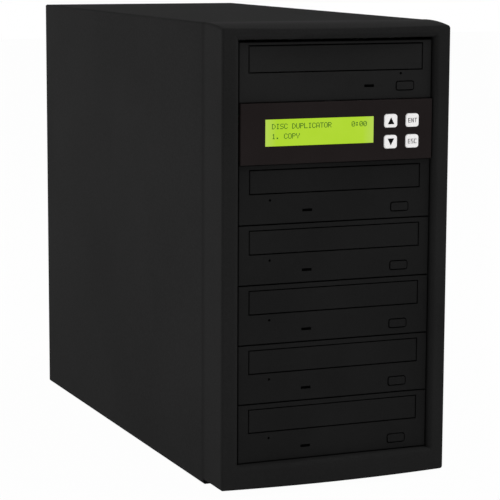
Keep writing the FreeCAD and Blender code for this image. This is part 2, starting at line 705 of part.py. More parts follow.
def punch_grille(body, start, sheet_thickness, centre_x, centre_z):
    """Rows of punched slots that fill a circle, with an upright bar left standing."""
    slots = []
    for row in range(-4, 5):
        middle = grille_pitch * row
        end = grille_radius.chord_half(middle)
        slots.append(block(centre_x, centre_z + middle, end * 2, grille_slot))
    cut(body, "XZ", start, sheet_thickness, *slots)
    add(body, "XZ", start, sheet_thickness, block(centre_x, centre_z, grille_bar, grille_radius * 2))


def fan_screw_points(centre_x, centre_z):
    half = fan_hole_pitch / 2
    return [(centre_x + half * side, centre_z + half * level) for side in (-1, 1) for level in (-1, 1)]


# Chassis: a folded tray whose floor has upturned edges, with the rear wall that
# has the fan grilles and the window for the power supply
supply_half = supply_width / 2
supply_fan_z = supply_floor + supply_height / 2
case_fan_levels = (lower_fan_z, upper_fan_z)
supply_screw_points = []
for side in (-1, 1):
    screw_x = (supply_half - supply_screw_side) * side
    supply_screw_points += [(screw_x, supply_floor + supply_screw_end),
                            (screw_x, supply_floor + supply_height - supply_screw_end)]
case_fan_points = []
for level in case_fan_levels:
    case_fan_points += fan_screw_points(zero, level)
chassis = keep(make_body("chassis"))
flange_front = seam + bracket_sheet + flange_relief
chassis_inner = chassis_half - chassis_sheet
inside_corner = chassis_bend - chassis_sheet
add(chassis, "XZ", flange_front, wall_outside - flange_front,
    rounded(-chassis_half, chassis_half, floor_bottom, chassis_top, chassis_bend, chassis_bend))
cut(chassis, "XZ", flange_front, wall_inside - flange_front,
    rounded(-chassis_inner, chassis_inner, floor_top, chassis_top - chassis_sheet,
            inside_corner, inside_corner))
cut(chassis, "XZ", flange_front, wall_inside - flange_front,
    rectangle(-cover_half, cover_half, floor_bottom + floor_flange, cover_top))
tongue_half = chassis_half - chassis_bend
add(chassis, "XY", floor_bottom, chassis_sheet,
    rectangle(-tongue_half, tongue_half, seam, flange_front))
for level in case_fan_levels:
    punch_grille(chassis, wall_inside, chassis_sheet, zero, level)
cut(chassis, "XZ", wall_inside, chassis_sheet,
    rectangle(-supply_half + supply_window_side, supply_half - supply_window_side,
              supply_floor + supply_window_end, supply_floor + supply_height - supply_window_end),
    *[disc(x, z, screw_hole_radius)
      for x, z in cover_screw_points + supply_screw_points + case_fan_points])

# Drive brackets: two folded side plates that hold the drives between them and
# carry the bezel on their front flanges
brackets = []
for side in (-1, 1):
    bracket = make_body("DriveBracket")
    inner = drive_half * side
    outer = (drive_half + bracket_sheet) * side
    tip = (drive_half + bracket_sheet + bracket_flange) * side
    add(bracket, "XZ", seam, bracket_depth,
        polygon((inner, floor_top), (tip, floor_top), (tip, floor_top + bracket_sheet),
                (outer, floor_top + bracket_sheet), (outer, chassis_top - bracket_sheet),
                (tip, chassis_top - bracket_sheet), (tip, chassis_top), (inner, chassis_top)))
    flange_ends = sorted(((drive_half + bracket_sheet / 2) * side, chassis_half * side),
                         key=lambda length: length.value)
    add(bracket, "XZ", seam, bracket_sheet,
        rectangle(flange_ends[0], flange_ends[1], floor_top, chassis_top))
    slot_ends = sorted(((hook_inner - hook_barb - slide_fit) * side, (hook_outer + slide_fit) * side),
                       key=lambda length: length.value)
    cut(bracket, "XZ", seam, bracket_sheet,
        *[rectangle(slot_ends[0], slot_ends[1], level - hook_width / 2 - slide_fit,
                    level + hook_width / 2 + slide_fit) for level in hook_levels])
    windows = []
    for bay in range(BAY_COUNT):
        middle = bay_floor(bay) + bay_pitch / 2
        windows.append(rectangle(seam + window_front, seam + window_front + window_length,
                                 middle - window_height / 2, middle + window_height / 2))
    plate_start = drive_half if side > 0 else -drive_half - bracket_sheet
    cut(bracket, "YZ", plate_start, bracket_sheet, *windows)
    brackets.append(bracket)
keep(gather("drive_brackets", brackets))

# Rubber feet: four tapered pads under the floor
feet = []
foot_x = bezel_half - foot_side_inset
for side in (-1, 1):
    for back in (bezel_ends + foot_front_inset, rear - foot_rear_inset):
        foot = doc.addObject("Part::Cone", "Foot")
        foot.setExpression("Radius1", foot_floor_radius.text)
        foot.setExpression("Radius2", foot_top_radius.text)
        foot.setExpression("Height", floor_bottom.text)
        place(foot, foot_x * side, back, zero)
        feet.append(foot)
keep(gather("rubber_feet", feet))

# Drive housings: a folded box, open at the front, with ledges that guide the
# tray and a base for the disc motor
housing_inner = drive_half - drive_sheet
drive_floor = drive_bottom + drive_sheet
spindle_y = door_thickness + disc_centre
boss_top = tray_lift - spindle_clear - disc_hub_height - motor_cup_height - slide_fit
motor_boss_height = boss_top - drive_floor
motor_shaft_depth = motor_boss_height - motor_shaft_base
guide = tray_width / 2 + slide_fit
ledge_top = tray_lift - slide_fit


def make_housing(label):
    body = make_body(label)
    start = faceplate_thickness
    add(body, "XZ", start, drive_depth,
        rectangle(-drive_half, drive_half, drive_bottom, drive_bottom + drive_height))
    cut(body, "XZ", start, drive_depth - drive_sheet,
        rectangle(-housing_inner, housing_inner, drive_floor, drive_bottom + drive_height - drive_sheet))
    wall = housing_inner + drive_sheet / 2
    for side in (-1, 1):
        points = ((wall, ledge_top - ledge_height), (guide - ledge_reach, ledge_top - ledge_height),
                  (guide - ledge_reach, ledge_top), (guide, ledge_top),
                  (guide, ledge_top + tray_height), (wall, ledge_top + tray_height))
        add(body, "XZ", start, drive_depth - drive_sheet, polygon(*[(x * side, z) for x, z in points]))
    add(body, "XY", drive_floor - drive_sheet / 2, motor_boss_height + drive_sheet / 2,
        disc(zero, spindle_y, motor_boss_radius))
    cut(body, "XY", boss_top - motor_shaft_depth, motor_shaft_depth,
        disc(zero, spindle_y, motor_shaft_radius + motor_shaft_fit))
    return body


# Disc spindles: motor rotor, disc hub and shaft in one turned piece
rotor_bottom = boss_top + slide_fit


def make_spindle(label):
    body = make_body(label)
    add(body, "XY", rotor_bottom, motor_cup_height, disc(zero, zero, motor_cup_radius))
    add(body, "XY", rotor_bottom + motor_cup_height, disc_hub_height, disc(zero, zero, disc_hub_radius))
    shaft_end = boss_top - motor_shaft_depth + slide_fit
    add(body, "XY", shaft_end, rotor_bottom - shaft_end, disc(zero, zero, motor_shaft_radius))
    return body


# Disc trays: stepped seats for large and small discs, finger notches, an opening
# over the spindle and pickup, and a hollow underside
def make_tray(label):
    body = make_body(label)
    top = tray_lift + tray_height
    start = door_thickness
    add(body, "XY", tray_lift, tray_height,
        rounded(-tray_width / 2, tray_width / 2, start, start + tray_length, tray_corner, tray_corner))
    add(body, "XY", tray_lift, tray_height,
        rectangle(-tray_width / 2, tray_width / 2, start, start + tray_corner * 2))
    cut(body, "XY", tray_lift, tray_hollow_depth,
        rectangle(-tray_width / 2 + tray_hollow_rim, tray_width / 2 - tray_hollow_rim,
                  start + tray_hollow_rim, start + tray_length - tray_hollow_rim))
    cut(body, "XY", top - disc_seat_depth, disc_seat_depth, disc(zero, spindle_y, disc_seat_radius))
    cut(body, "XY", top - disc_seat_depth - small_seat_depth, small_seat_depth,
        disc(zero, spindle_y, small_seat_radius))
    finger_y = spindle_y - disc_seat_radius + finger_radius
    cut(body, "XY", top - disc_seat_depth, disc_seat_depth,
        disc(-finger_x, finger_y, finger_radius), disc(finger_x, finger_y, finger_radius))
    cut(body, "XY", tray_lift, tray_height, disc(zero, spindle_y, pickup_radius))
    cut(body, "XY", tray_lift, tray_height,
        rectangle(-pickup_radius, pickup_radius, spindle_y, spindle_y + pickup_length))
    return body


# Tray fronts: the panel clipped to the front of a tray, flush with the faceplate
def make_tray_front(label, width, height, level):
    body = make_body(label)
    add(body, "XZ", zero, door_thickness, rectangle(-width / 2, width / 2, level, level + height))
    round_edges(body, door_edge, in_front(zero))
    return body


# Faceplates: a plate with openings for the tray front, eject button, activity
# light and emergency pin
def make_faceplate(label, width, height, level, button, light, pin_hole):
    body = make_body(label)
    half = faceplate_width / 2
    add(body, "XZ", zero, faceplate_thickness,
        rectangle(-half, half, faceplate_bottom, faceplate_bottom + faceplate_height))
    round_edges(body, faceplate_edge, in_front(zero))
    cut(body, "XZ", zero, faceplate_thickness,
        rectangle(-width / 2 - door_gap, width / 2 + door_gap, level - door_gap, level + height + door_gap),
        rounded_block(*button, button_width + button_gap * 2, button_height + button_gap * 2,
                      button_radius + button_gap),
        block(*light, light_width + light_fit * 2, light_height + light_fit * 2),
        disc(*pin_hole, pin_hole_radius))
    return body


# Eject buttons: a cap that slides in the faceplate, kept in by a flange behind it
def make_button(label):
    body = make_body(label)
    add(body, "XZ", -button_proud, button_proud + faceplate_thickness + slide_fit + button_flange_depth,
        rounded_block(zero, zero, button_width, button_height, button_radius))
    add(body, "XZ", faceplate_thickness + slide_fit, button_flange_depth,
        block(zero, zero, button_width + button_flange * 2, button_height + button_flange * 2))
    round_edges(body, button_proud / 2, in_front(-button_proud))
    return body


def place_drive(name, bay, button):
    """Tie the pieces of one drive to its bay."""
    for kind in ("housing", "faceplate", "tray", "tray_front"):
        place(drive_pieces[f"{name}_{kind}"], zero, drive_front, bay_floor(bay))
    place(drive_pieces[f"{name}_eject_button"], button[0], drive_front, bay_floor(bay) + button[1])
    place(drive_pieces[f"{name}_spindle"], zero, drive_front + spindle_y, bay_floor(bay))


drive_pieces = {}
originals = {}


def keep_drive(name, kind, body):
    drive_pieces[f"{name}_{kind}"] = keep(body)
    return body


burner_button = (button_x, button_z)
burner_light = (light_x, light_z)
source_button = (source_button_x, source_button_z)
source_light = (source_light_x, source_light_z)
first = keep_drive("burner_1", "housing", make_housing("burner_1_housing"))
originals["housing"] = first
originals["tray"] = keep_drive("burner_1", "tray", make_tray("burner_1_tray"))
originals["spindle"] = keep_drive("burner_1", "spindle", make_spindle("burner_1_spindle"))
originals["eject_button"] = keep_drive("burner_1", "eject_button", make_button("burner_1_eject_button"))
originals["tray_front"] = keep_drive(
    "burner_1", "tray_front", make_tray_front("burner_1_tray_front", door_width, door_height, door_floor))
originals["faceplate"] = keep_drive(
    "burner_1", "faceplate",
    make_faceplate("burner_1_faceplate", door_width, door_height, door_floor,
                   burner_button, burner_light, (pin_hole_x, door_floor - pin_hole_drop)))
doc.recompute()
for number in range(2, len(BURNER_BAYS) + 1):
    for kind, original in originals.items():
        keep_drive(f"burner_{number}", kind, copy_body(f"burner_{number}_{kind}", original))
for kind in ("housing", "tray", "spindle", "eject_button"):
    keep_drive("source", kind, copy_body(f"source_{kind}", originals[kind]))
keep_drive("source", "tray_front",
           make_tray_front("source_tray_front", source_door_width, source_door_height, source_door_floor))
keep_drive("source", "faceplate",
           make_faceplate("source_faceplate", source_door_width, source_door_height, source_door_floor,
                          source_button, source_light, (source_pin_hole_x, source_door_floor - source_pin_hole_drop)))
for number, bay in enumerate(BURNER_BAYS, start=1):
    place_drive(f"burner_{number}", bay, burner_button)
place_drive("source", SOURCE_BAY, source_button)

# Activity lights: one light pipe in each faceplate
lights = []
for bay, light in [(bay, burner_light) for bay in BURNER_BAYS] + [(SOURCE_BAY, source_light)]:
    pipe = doc.addObject("Part::Box", "Light")
    pipe.setExpression("Length", light_width.text)
    pipe.setExpression("Width", light_depth.text)
    pipe.setExpression("Height", light_height.text)
    place(pipe, light[0] - light_width / 2, drive_front + light_recess,
          bay_floor(bay) + light[1] - light_height / 2)
    lights.append(pipe)
keep(gather("activity_lights", lights))

# Control panel: a moulded front with a screen window and four key holes, and two
# side arms that hold the display board and carry the controller board
key_points = {}
for name, side, level in (("up", -1, 1), ("down", -1, -1), ("enter", 1, 1), ("escape", 1, -1)):
    key_points[name] = (key_x + key_pitch_x / 2 * side, key_z + key_pitch_z / 2 * level)
display_z = bay_pitch / 2
display_y = panel_face + screen_module
arm_end = panel_face + panel_arm_length
arm_inner = drive_half - panel_arm_wall
ledge_level = panel_arm_lift + arm_ledge_height * 2
panel_bottom = panel_fit - faceplate_bottom
panel = keep(make_body("control_panel"))
add(panel, "XZ", zero, panel_face,
    rectangle(-faceplate_width / 2, faceplate_width / 2, panel_bottom, bay_pitch - panel_bottom))
round_edges(panel, faceplate_edge, in_front(zero))
add(panel, "XZ", panel_face, panel_arm_length,
    *mirrored(rectangle, arm_inner, drive_half, panel_arm_lift, panel_arm_lift + panel_arm_height))
controller_start = panel_face + controller_gap
add(panel, "XZ", controller_start, arm_end - controller_start,
    *mirrored(rectangle, arm_inner - arm_ledge_reach, arm_inner + panel_arm_wall / 2,
              ledge_level, ledge_level + arm_ledge_height))
cut(panel, "XZ", zero, panel_face,
    block(screen_x, screen_z, screen_width, screen_height),
    *[rounded_block(x, z, key_width + slide_fit * 2, key_height + slide_fit * 2, key_radius + slide_fit)
      for x, z in key_points.values()])
place(panel, zero, panel_front, bay_floor(PANEL_BAY))

# Screen: glass in the panel's window on a wider module behind the panel
screen = keep(make_body("lcd_screen"))
add(screen, "XZ", panel_face, screen_module,
    block(screen_x, screen_z, screen_width + screen_border * 2, screen_height + screen_border * 2))
add(screen, "XZ", screen_recess, panel_face - screen_recess,
    block(screen_x, screen_z, screen_width - screen_fit * 2, screen_height - screen_fit * 2))
place(screen, zero, panel_front, bay_floor(PANEL_BAY))

# Display board: a circuit board between the panel's arms with a switch behind each key
display = keep(make_body("display_board"))
add(display, "XZ", display_y, board_thickness, block(zero, display_z, arm_inner * 2, display_height))
add(display, "XZ", display_y - switch_height, switch_height,
    *[block(x, z, switch_width, switch_width) for x, z in key_points.values()])
place(display, zero, panel_front, bay_floor(PANEL_BAY))

# Keys: a cap that slides in the panel, kept in by a flange, with a stem to its switch
key_back = panel_face + slide_fit
stem_end = display_y - switch_height - key_travel - switch_gap
first_key = None
for name, (x, z) in key_points.items():
    if first_key is None:
        first_key = key = keep(make_body(f"key_{name}"))
        add(key, "XZ", -key_proud, key_proud + key_back + key_flange_depth,
            rounded_block(zero, zero, key_width, key_height, key_radius))
        add(key, "XZ", key_back, key_flange_depth,
            block(zero, zero, key_width + key_flange * 2, key_height + key_flange * 2))
        add(key, "XZ", key_back + key_flange_depth, stem_end - key_back - key_flange_depth,
            block(zero, zero, key_stem, key_stem))
        round_edges(key, key_edge, in_front(-key_proud))
        doc.recompute()
    else:
        key = keep(copy_body(f"key_{name}", first_key))
    place(key, x, panel_front, bay_floor(PANEL_BAY) + z)

# Controller board: carried by the panel's arms, with a cooled chip and a data
# socket for each drive along its rear edge
board_level = ledge_level + arm_ledge_height
board_top = board_level + board_thickness
board_end = controller_start + controller_length
SOCKET_COUNT = 6
socket_x = [socket_pitch * (index - (SOCKET_COUNT - 1) / 2) - socket_shift for index in range(SOCKET_COUNT)]
controller = keep(make_body("controller_board"))
add(controller, "XY", board_level, board_thickness,
    rectangle(-arm_inner + slide_fit, arm_inner - slide_fit, controller_start, board_end))
add(controller, "XY", board_top, socket_height,
    *[rectangle(x - socket_width / 2, x + socket_width / 2, board_end - socket_depth, board_end)
      for x in socket_x])
add(controller, "XY", board_top, chip_height,
    rectangle(-chip_width / 2, chip_width / 2, controller_start + chip_width, controller_start + chip_width * 2))
place(controller, zero, panel_front, bay_floor(PANEL_BAY))

# Wiring: a flat data cable from the controller to each drive and one power loom
# from the supply to all drives
drive_rear = drive_front + faceplate_thickness + drive_depth
cable_back = drive_rear + cable_reach
socket_level = bay_floor(PANEL_BAY) + board_top + socket_height / 2
half = cable_thickness / 2
wires = []
drive_bays = (SOURCE_BAY,) + BURNER_BAYS
for x, bay in zip(socket_x, drive_bays):
    plug_level = bay_floor(bay) + plug_lift
    low, high = sorted((plug_level, socket_level), key=lambda length: length.value)
    low_start, high_start = (drive_rear, panel_front + board_end)
    if bay == SOURCE_BAY:
        low_start, high_start = (panel_front + board_end, drive_rear)
    cable = make_body("DataCable")
    add(cable, "YZ", x - cable_width / 2, cable_width,
        polygon((low_start, low - half), (cable_back + half, low - half), (cable_back + half, high + half),
                (high_start, high + half), (high_start, high - half), (cable_back - half, high - half),
                (cable_back - half, low + half), (low_start, low + half)))

    def bends(edge, across=(cable_back - half).value):
        upright = edge.YLength < ROUND_EDGE_LIMIT and edge.ZLength < ROUND_EDGE_LIMIT
        return upright and abs(edge.YMin - across) < ROUND_EDGE_LIMIT

    def outer_bends(edge, across=(cable_back + half).value):
        upright = edge.YLength < ROUND_EDGE_LIMIT and edge.ZLength < ROUND_EDGE_LIMIT
        return upright and abs(edge.YMin - across) < ROUND_EDGE_LIMIT

    round_edges(cable, cable_bend, bends)
    round_edges(cable, cable_bend + cable_thickness, outer_bends)
    wires.append(cable)
loom = make_body("PowerLoom")
loom_back = drive_rear + loom_reach
supply_front = wall_inside - supply_depth
lead_level = supply_floor + supply_height / 2
add(loom, "YZ", loom_x - loom_width / 2, loom_width,
    rectangle(loom_back, loom_back + loom_thickness, bay_floor(0) + plug_lift - loom_thickness / 2,
              bay_floor(SOURCE_BAY) + plug_lift + loom_thickness / 2))
add(loom, "YZ", loom_x - loom_width / 2, loom_width,
    *[rectangle(drive_rear, loom_back + loom_thickness / 2, bay_floor(bay) + plug_lift - loom_thickness / 2,
                bay_floor(bay) + plug_lift + loom_thickness / 2) for bay in drive_bays])
add(loom, "YZ", loom_x - loom_width / 2, loom_width,
    rectangle(loom_back + loom_thickness / 2, supply_front, lead_level - loom_thickness / 2,
              lead_level + loom_thickness / 2))
wires.append(loom)
keep(gather("wiring", wires))

# Power supply base: one sheet folded up at both ends, with the fan grille and the
# inlet opening in its rear wall and intake slots in its front wall
inlet_z = supply_height / 2
base_half = supply_half - supply_sheet
base_top = supply_height - supply_sheet
supply = keep(make_body("supply_base"))
add(supply, "YZ", -base_half, base_half * 2,
    polygon((-supply_depth, zero), (zero, zero), (zero, base_top), (-supply_sheet, base_top),
            (-supply_sheet, supply_sheet), (supply_sheet - supply_depth, supply_sheet),
            (supply_sheet - supply_depth, base_top), (-supply_depth, base_top)))
punch_grille(supply, -supply_sheet, supply_sheet, supply_fan_x, supply_height / 2)
cut(supply, "XZ", -supply_sheet, supply_sheet,
    block(inlet_x, inlet_z, inlet_width, inlet_height),
    *[disc(x, z, screw_hole_radius) for x, z in fan_screw_points(supply_fan_x, supply_height / 2)],
    *[disc(x, z - supply_floor, screw_hole_radius) for x, z in supply_screw_points])
cut(supply, "XZ", -supply_depth, supply_sheet,
    *[block(zero, supply_height / 2 + grille_pitch * 1.5 * row, supply_half, grille_slot)
      for row in range(-2, 3)])
place(supply, zero, wall_inside, supply_floor)

# Power supply lid: one sheet folded over the top and both sides of the base
lid = keep(make_body("supply_lid"))
add(lid, "XZ", -supply_depth, supply_depth,
    polygon((-supply_half, zero), (-base_half, zero), (-base_half, base_top), (base_half, base_top),
            (base_half, zero), (supply_half, zero), (supply_half, supply_height), (-supply_half, supply_height)))
place(lid, zero, wall_inside, supply_floor)

# Fan frames: three square frames, each with a bore, struts and a hub plate
rotor_rear = fan_depth - fan_strut_depth - slide_fit
fan_axes = ((zero, wall_inside, lower_fan_z, "lower_fan_rotor"),
            (zero, wall_inside, upper_fan_z, "upper_fan_rotor"),
            (supply_fan_x, wall_inside - supply_sheet, supply_fan_z, "supply_fan_rotor"))
frames = []
fan_half = fan_side / 2
for x, back, z, name in fan_axes:
    if not frames:
        frame = make_body("FanFrame")
        add(frame, "XZ", zero, fan_depth, rounded(-fan_half, fan_half, -fan_half, fan_half, fan_corner, fan_corner))
        cut(frame, "XZ", zero, fan_depth, disc(zero, zero, fan_bore_radius),
            *[disc(x, z, screw_hole_radius) for x, z in fan_screw_points(zero, zero)])
        reach = fan_bore_radius + fan_wall / 2
        strut_start = fan_depth - fan_strut_depth
        add(frame, "XZ", strut_start, fan_strut_depth, rectangle(-reach, reach, -fan_strut / 2, fan_strut / 2))
        add(frame, "XZ", strut_start, fan_strut_depth, rectangle(-fan_strut / 2, fan_strut / 2, -reach, reach))
        add(frame, "XZ", strut_start, fan_strut_depth, disc(zero, zero, fan_hub_radius))
        doc.recompute()
    else:
        frame = copy_body("FanFrameCopy", frames[0])
    place(frame, x, back - fan_depth, z)
    frames.append(frame)
keep(gather("fan_frames", frames))

# Fan rotors: a hub with seven blades, each lofted from a steep root to a flat tip
first_rotor = None
for x, back, z, name in fan_axes:
    if first_rotor is None:
        first_rotor = rotor = keep(make_body(name))
        hub = add(rotor, "XZ", fan_front_gap, rotor_rear - fan_front_gap, disc(zero, zero, fan_hub_radius))
        blade_start = fan_front_gap + fan_blade_margin
        blade_end = rotor_rear - fan_blade_margin
        sections = []
        for radius, sweep in ((fan_hub_radius - fan_blade_sink, fan_blade_root_half),
                              (fan_blade_tip, fan_blade_tip_half)):
            outline = polygon((blade_start, -sweep), (blade_start + fan_blade_thickness, -sweep),
                              (blade_end, sweep), (blade_end - fan_blade_thickness, sweep))
            sections.append(make_sketch(rotor, "YZ", radius, [outline]))
        blade = rotor.newObject("PartDesign::AdditiveLoft", "Blade")
        blade.Profile = sections[0]
        blade.Sections = sections[1:]
        blade.Ruled = True
        doc.recompute()
        ring = rotor.newObject("PartDesign::PolarPattern", "Blades")
        ring.Originals = [blade]
        axis = [item for item in rotor.Origin.OriginFeatures if item.Role == "Y_Axis"][0]
        ring.Axis = (axis, [""])
        ring.Angle = 360
        ring.Occurrences = BLADE_COUNT
        rotor.Tip = ring
        doc.recompute()
    else:
        rotor = keep(copy_body(name, first_rotor))
    place(rotor, x, back - fan_depth, z)

# Power inlet: a flanged module with the plug cavity, three pins and the slot for
# the rocker
plug_z = -plug_drop
plug_low = plug_z - plug_height / 2
plug_high = plug_z + plug_height / 2
cavity_floor = inlet_flange - plug_depth
inlet = keep(make_body("power_inlet"))
add(inlet, "XZ", zero, inlet_flange, block(zero, zero, inlet_width + inlet_rim * 2, inlet_height + inlet_rim * 2))
add(inlet, "XZ", -inlet_depth, inlet_depth, block(zero, zero, inlet_width, inlet_height))
plug_half = plug_width / 2
cut(inlet, "XZ", cavity_floor, plug_depth,
    polygon((-plug_half, plug_low), (plug_half, plug_low), (plug_half, plug_high - plug_chamfer),
            (plug_half - plug_chamfer, plug_high), (plug_chamfer - plug_half, plug_high),
            (-plug_half, plug_high - plug_chamfer)))
pins = [block(pin_pitch / 2 * side, plug_z - pin_rise / 2, pin_width, pin_height) for side in (-1, 1)]
pins.append(block(zero, plug_z + pin_rise / 2, pin_width, pin_height))
add(inlet, "XZ", cavity_floor, plug_depth - pin_recess, *pins)
rocker_slot_width = rocker_width + slide_fit * 2
cut(inlet, "XZ", inlet_flange - rocker_slot_depth, rocker_slot_depth,
    block(zero, rocker_rise, rocker_slot_width, rocker_slot_half * 2))
pin_reach = rocker_width / 2 + rocker_pin_length + slide_fit
cut(inlet, "YZ", -pin_reach, pin_reach * 2,
    disc(inlet_flange - rocker_axis_depth, rocker_rise, rocker_pin_radius + rocker_pin_fit))
place(inlet, inlet_x, wall_inside, supply_floor + inlet_z)

# Power switch: a rocker on two pins, at rest with its lower end pressed
rocker = keep(make_body("power_switch"))
add(rocker, "YZ", -rocker_width / 2, rocker_width,
    polygon((-rocker_back, -rocker_half_height * 0.6), (rocker_dip * 0.5, -rocker_half_height),
            (rocker_crest, -rocker_half_height), (rocker_dip, zero), (rocker_crest, rocker_half_height),
            (rocker_dip * 0.5, rocker_half_height), (-rocker_back, rocker_half_height * 0.6)))
pin_end = rocker_width / 2 + rocker_pin_length
add(rocker, "YZ", -pin_end, pin_end * 2, disc(zero, zero, rocker_pin_radius))
rocker.Placement.Rotation = Rotation(Vector(1, 0, 0), -rocker_tilt.value)
rocker.setExpression("Placement.Rotation.Angle", rocker_tilt.text)
rocker.setExpression("Placement.Rotation.Axis.x", "-1")
place(rocker, inlet_x, wall_inside + inlet_flange - rocker_axis_depth, supply_floor + inlet_z + rocker_rise)

# Screws: hexagon heads on the cover flange, the rear wall and the supply
screws = []
screw_places = [(x, cover_rear, z) for x, z in cover_screw_points]
screw_places += [(x, wall_outside, z) for x, z in supply_screw_points + case_fan_points]
screw_places += [(x, wall_inside, z) for x, z in fan_screw_points(supply_fan_x, supply_fan_z)]
for x, back, z in screw_places:
    if not screws:
        screw = make_body("Screw")
        corners = []
        for index in range(6):
            turn = math.radians(60 * index)
            corners.append((screw_head_radius * math.cos(turn), screw_head_radius * math.sin(turn)))
        add(screw, "XZ", zero, screw_head, polygon(*corners))
        add(screw, "XZ", -screw_length, screw_length, disc(zero, zero, screw_shank_radius))
        doc.recompute()
    else:
        screw = copy_body("ScrewCopy", screws[0])
    place(screw, x, back, z)
    screws.append(screw)
keep(gather("case_screws", screws))

doc.recompute()
broken = []
for item in doc.Objects:
    if "Invalid" in item.State or "Error" in item.State:
        broken.append(f"{item.Label}: {item.State}")
for piece in pieces:
    if piece.Shape.isNull() or not piece.Shape.isValid():
        broken.append(f"{piece.Label}: bad shape")
if broken:
    raise RuntimeError("\n".join(broken))
for piece in pieces:
    piece.Shape.exportStep(f"parts/{piece.Label}.step")
print(f"{len(pieces)} pieces written")
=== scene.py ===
import bpy
import numpy as np
from mathutils import Matrix, Vector


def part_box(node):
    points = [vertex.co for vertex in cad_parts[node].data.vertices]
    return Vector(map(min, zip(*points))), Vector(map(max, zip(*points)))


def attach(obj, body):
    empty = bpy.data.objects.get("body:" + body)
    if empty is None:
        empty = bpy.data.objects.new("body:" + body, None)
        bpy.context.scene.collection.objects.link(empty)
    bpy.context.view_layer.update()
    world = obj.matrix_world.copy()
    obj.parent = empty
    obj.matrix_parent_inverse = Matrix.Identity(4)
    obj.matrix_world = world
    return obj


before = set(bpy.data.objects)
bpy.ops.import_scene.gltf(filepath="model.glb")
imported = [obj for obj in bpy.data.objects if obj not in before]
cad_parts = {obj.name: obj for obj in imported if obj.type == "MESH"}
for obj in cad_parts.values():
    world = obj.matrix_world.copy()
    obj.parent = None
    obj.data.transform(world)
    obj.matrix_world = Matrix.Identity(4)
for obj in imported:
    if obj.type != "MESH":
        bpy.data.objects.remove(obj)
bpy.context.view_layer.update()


# Chassis: the folded inner tray with the floor and the rear wall. It is sheet
# steel with a thin black lacquer, and it stands inside the cover, so that only
# its punched rear wall shows.
MM = 0.001


def linear(code):
    """An sRGB hex colour as linear values: x / 12.92 up to 0.04045, and above that
    ((x + 0.055) / 1.055) ^ 2.4."""
    part = np.array([int(code[i:i + 2], 16) for i in (1, 3, 5)]) / 255
    part = np.where(part <= 0.04045, part / 12.92, ((part + 0.055) / 1.055) ** 2.4)
    return (*part.tolist(), 1.0)


def add(tree, kind, inputs=None, **settings):
    """Add one node, set its options, and fill or link its inputs by name or number."""
    item = tree.nodes.new("ShaderNode" + kind)
    for key, value in settings.items():
        setattr(item, key, value)
    for key, value in (inputs or {}).items():
        if isinstance(value, bpy.types.NodeSocket):
            tree.links.new(value, item.inputs[key])
        else:
            item.inputs[key].default_value = value
    return item


def begin(name):
    """A new material with an empty node tree, and its Object coordinates."""
    material = bpy.data.materials.new(name)
    material.use_nodes = True
    tree = material.node_tree
    tree.nodes.clear()
    return material, tree, add(tree, "TexCoord").outputs["Object"]


def dress(material, *nodes):
    """Give every slot of these CAD nodes the material."""
    for name in nodes:
        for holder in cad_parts[name].material_slots:
            holder.material = material


# Most of one noise, and most of two noises added up, lies between these levels.
ONE_NOISE = (0.3, 0.7)
TWO_NOISES = (0.7, 1.3)
WEAR = 0.05
GRAIN_STRENGTH = 0.6
# Painted shade along the joint of bezel and cover, in place of the shadow of their step: its
# colour, its strength and its reach to each side.
SEAM_SHADE = "#0e0e0e"
SEAM_SHADE_SHARE = 0.35
SEAM_SHADE_REACH = 6 * MM


def coated(name, dark, light, patch, grain, relief, rough, gloss, joint=None):
    """A black finish: a cloudy noise, patch mm wide, and a grain of grain mm add up to mix the
    dark and the light tone. The cloud moves the roughness by WEAR either way, and the grain
    has a relief of relief mm. Where joint is given, painted shade darkens the tone at that y
    and fades out to both sides, in place of the shadow of the step between bezel and cover."""
    material, tree, spot = begin(name)
    cloud = add(tree, "TexNoise", {"Vector": spot, "Scale": 1 / (patch * MM), "Detail": 3.0})
    speck = add(tree, "TexNoise", {"Vector": spot, "Scale": 1 / (grain * MM), "Detail": 2.0})
    both = add(tree, "Math", {0: cloud.outputs[0], 1: speck.outputs[0]}, operation="ADD")
    share = add(tree, "MapRange", {"Value": both.outputs[0], "From Min": TWO_NOISES[0],
                                   "From Max": TWO_NOISES[1]})
    tone = add(tree, "Mix", {0: share.outputs[0], 6: linear(dark), 7: linear(light)},
               data_type="RGBA")
    # Painted shade: a dark band at the joint's y stands in for the shadow of the step between
    # bezel and cover.
    if joint is not None:
        along = add(tree, "SeparateXYZ", {0: spot}).outputs["Y"]
        offset = add(tree, "Math", {0: along, 1: joint}, operation="SUBTRACT")
        away = add(tree, "Math", {0: offset.outputs[0]}, operation="ABSOLUTE")
        seam_shade = add(tree, "MapRange", {"Value": away.outputs[0], "From Max": SEAM_SHADE_REACH,
                                       "To Min": SEAM_SHADE_SHARE, "To Max": 0.0})
        tone = add(tree, "Mix", {0: seam_shade.outputs[0], 6: tone.outputs[2], 7: linear(SEAM_SHADE)},
                   data_type="RGBA")
    worn = add(tree, "MapRange", {"Value": cloud.outputs[0], "From Min": ONE_NOISE[0],
                                  "From Max": ONE_NOISE[1], "To Min": rough - WEAR,
                                  "To Max": rough + WEAR})
    bump = add(tree, "Bump", {"Height": speck.outputs[0], "Strength": GRAIN_STRENGTH,
                              "Distance": relief * MM})
    shader = add(tree, "BsdfPrincipled", {
        "Base Color": tone.outputs[2], "Roughness": worn.outputs[0], "Normal": bump.outputs[0],
        "Specular IOR Level": gloss})
    add(tree, "OutputMaterial", {"Surface": shader.outputs[0]})
    return material


dress(coated("black_lacquered_steel", "#242425", "#2c2c2d", patch=70, grain=1.5, relief=0.03,
             rough=0.5, gloss=0.02), "chassis")


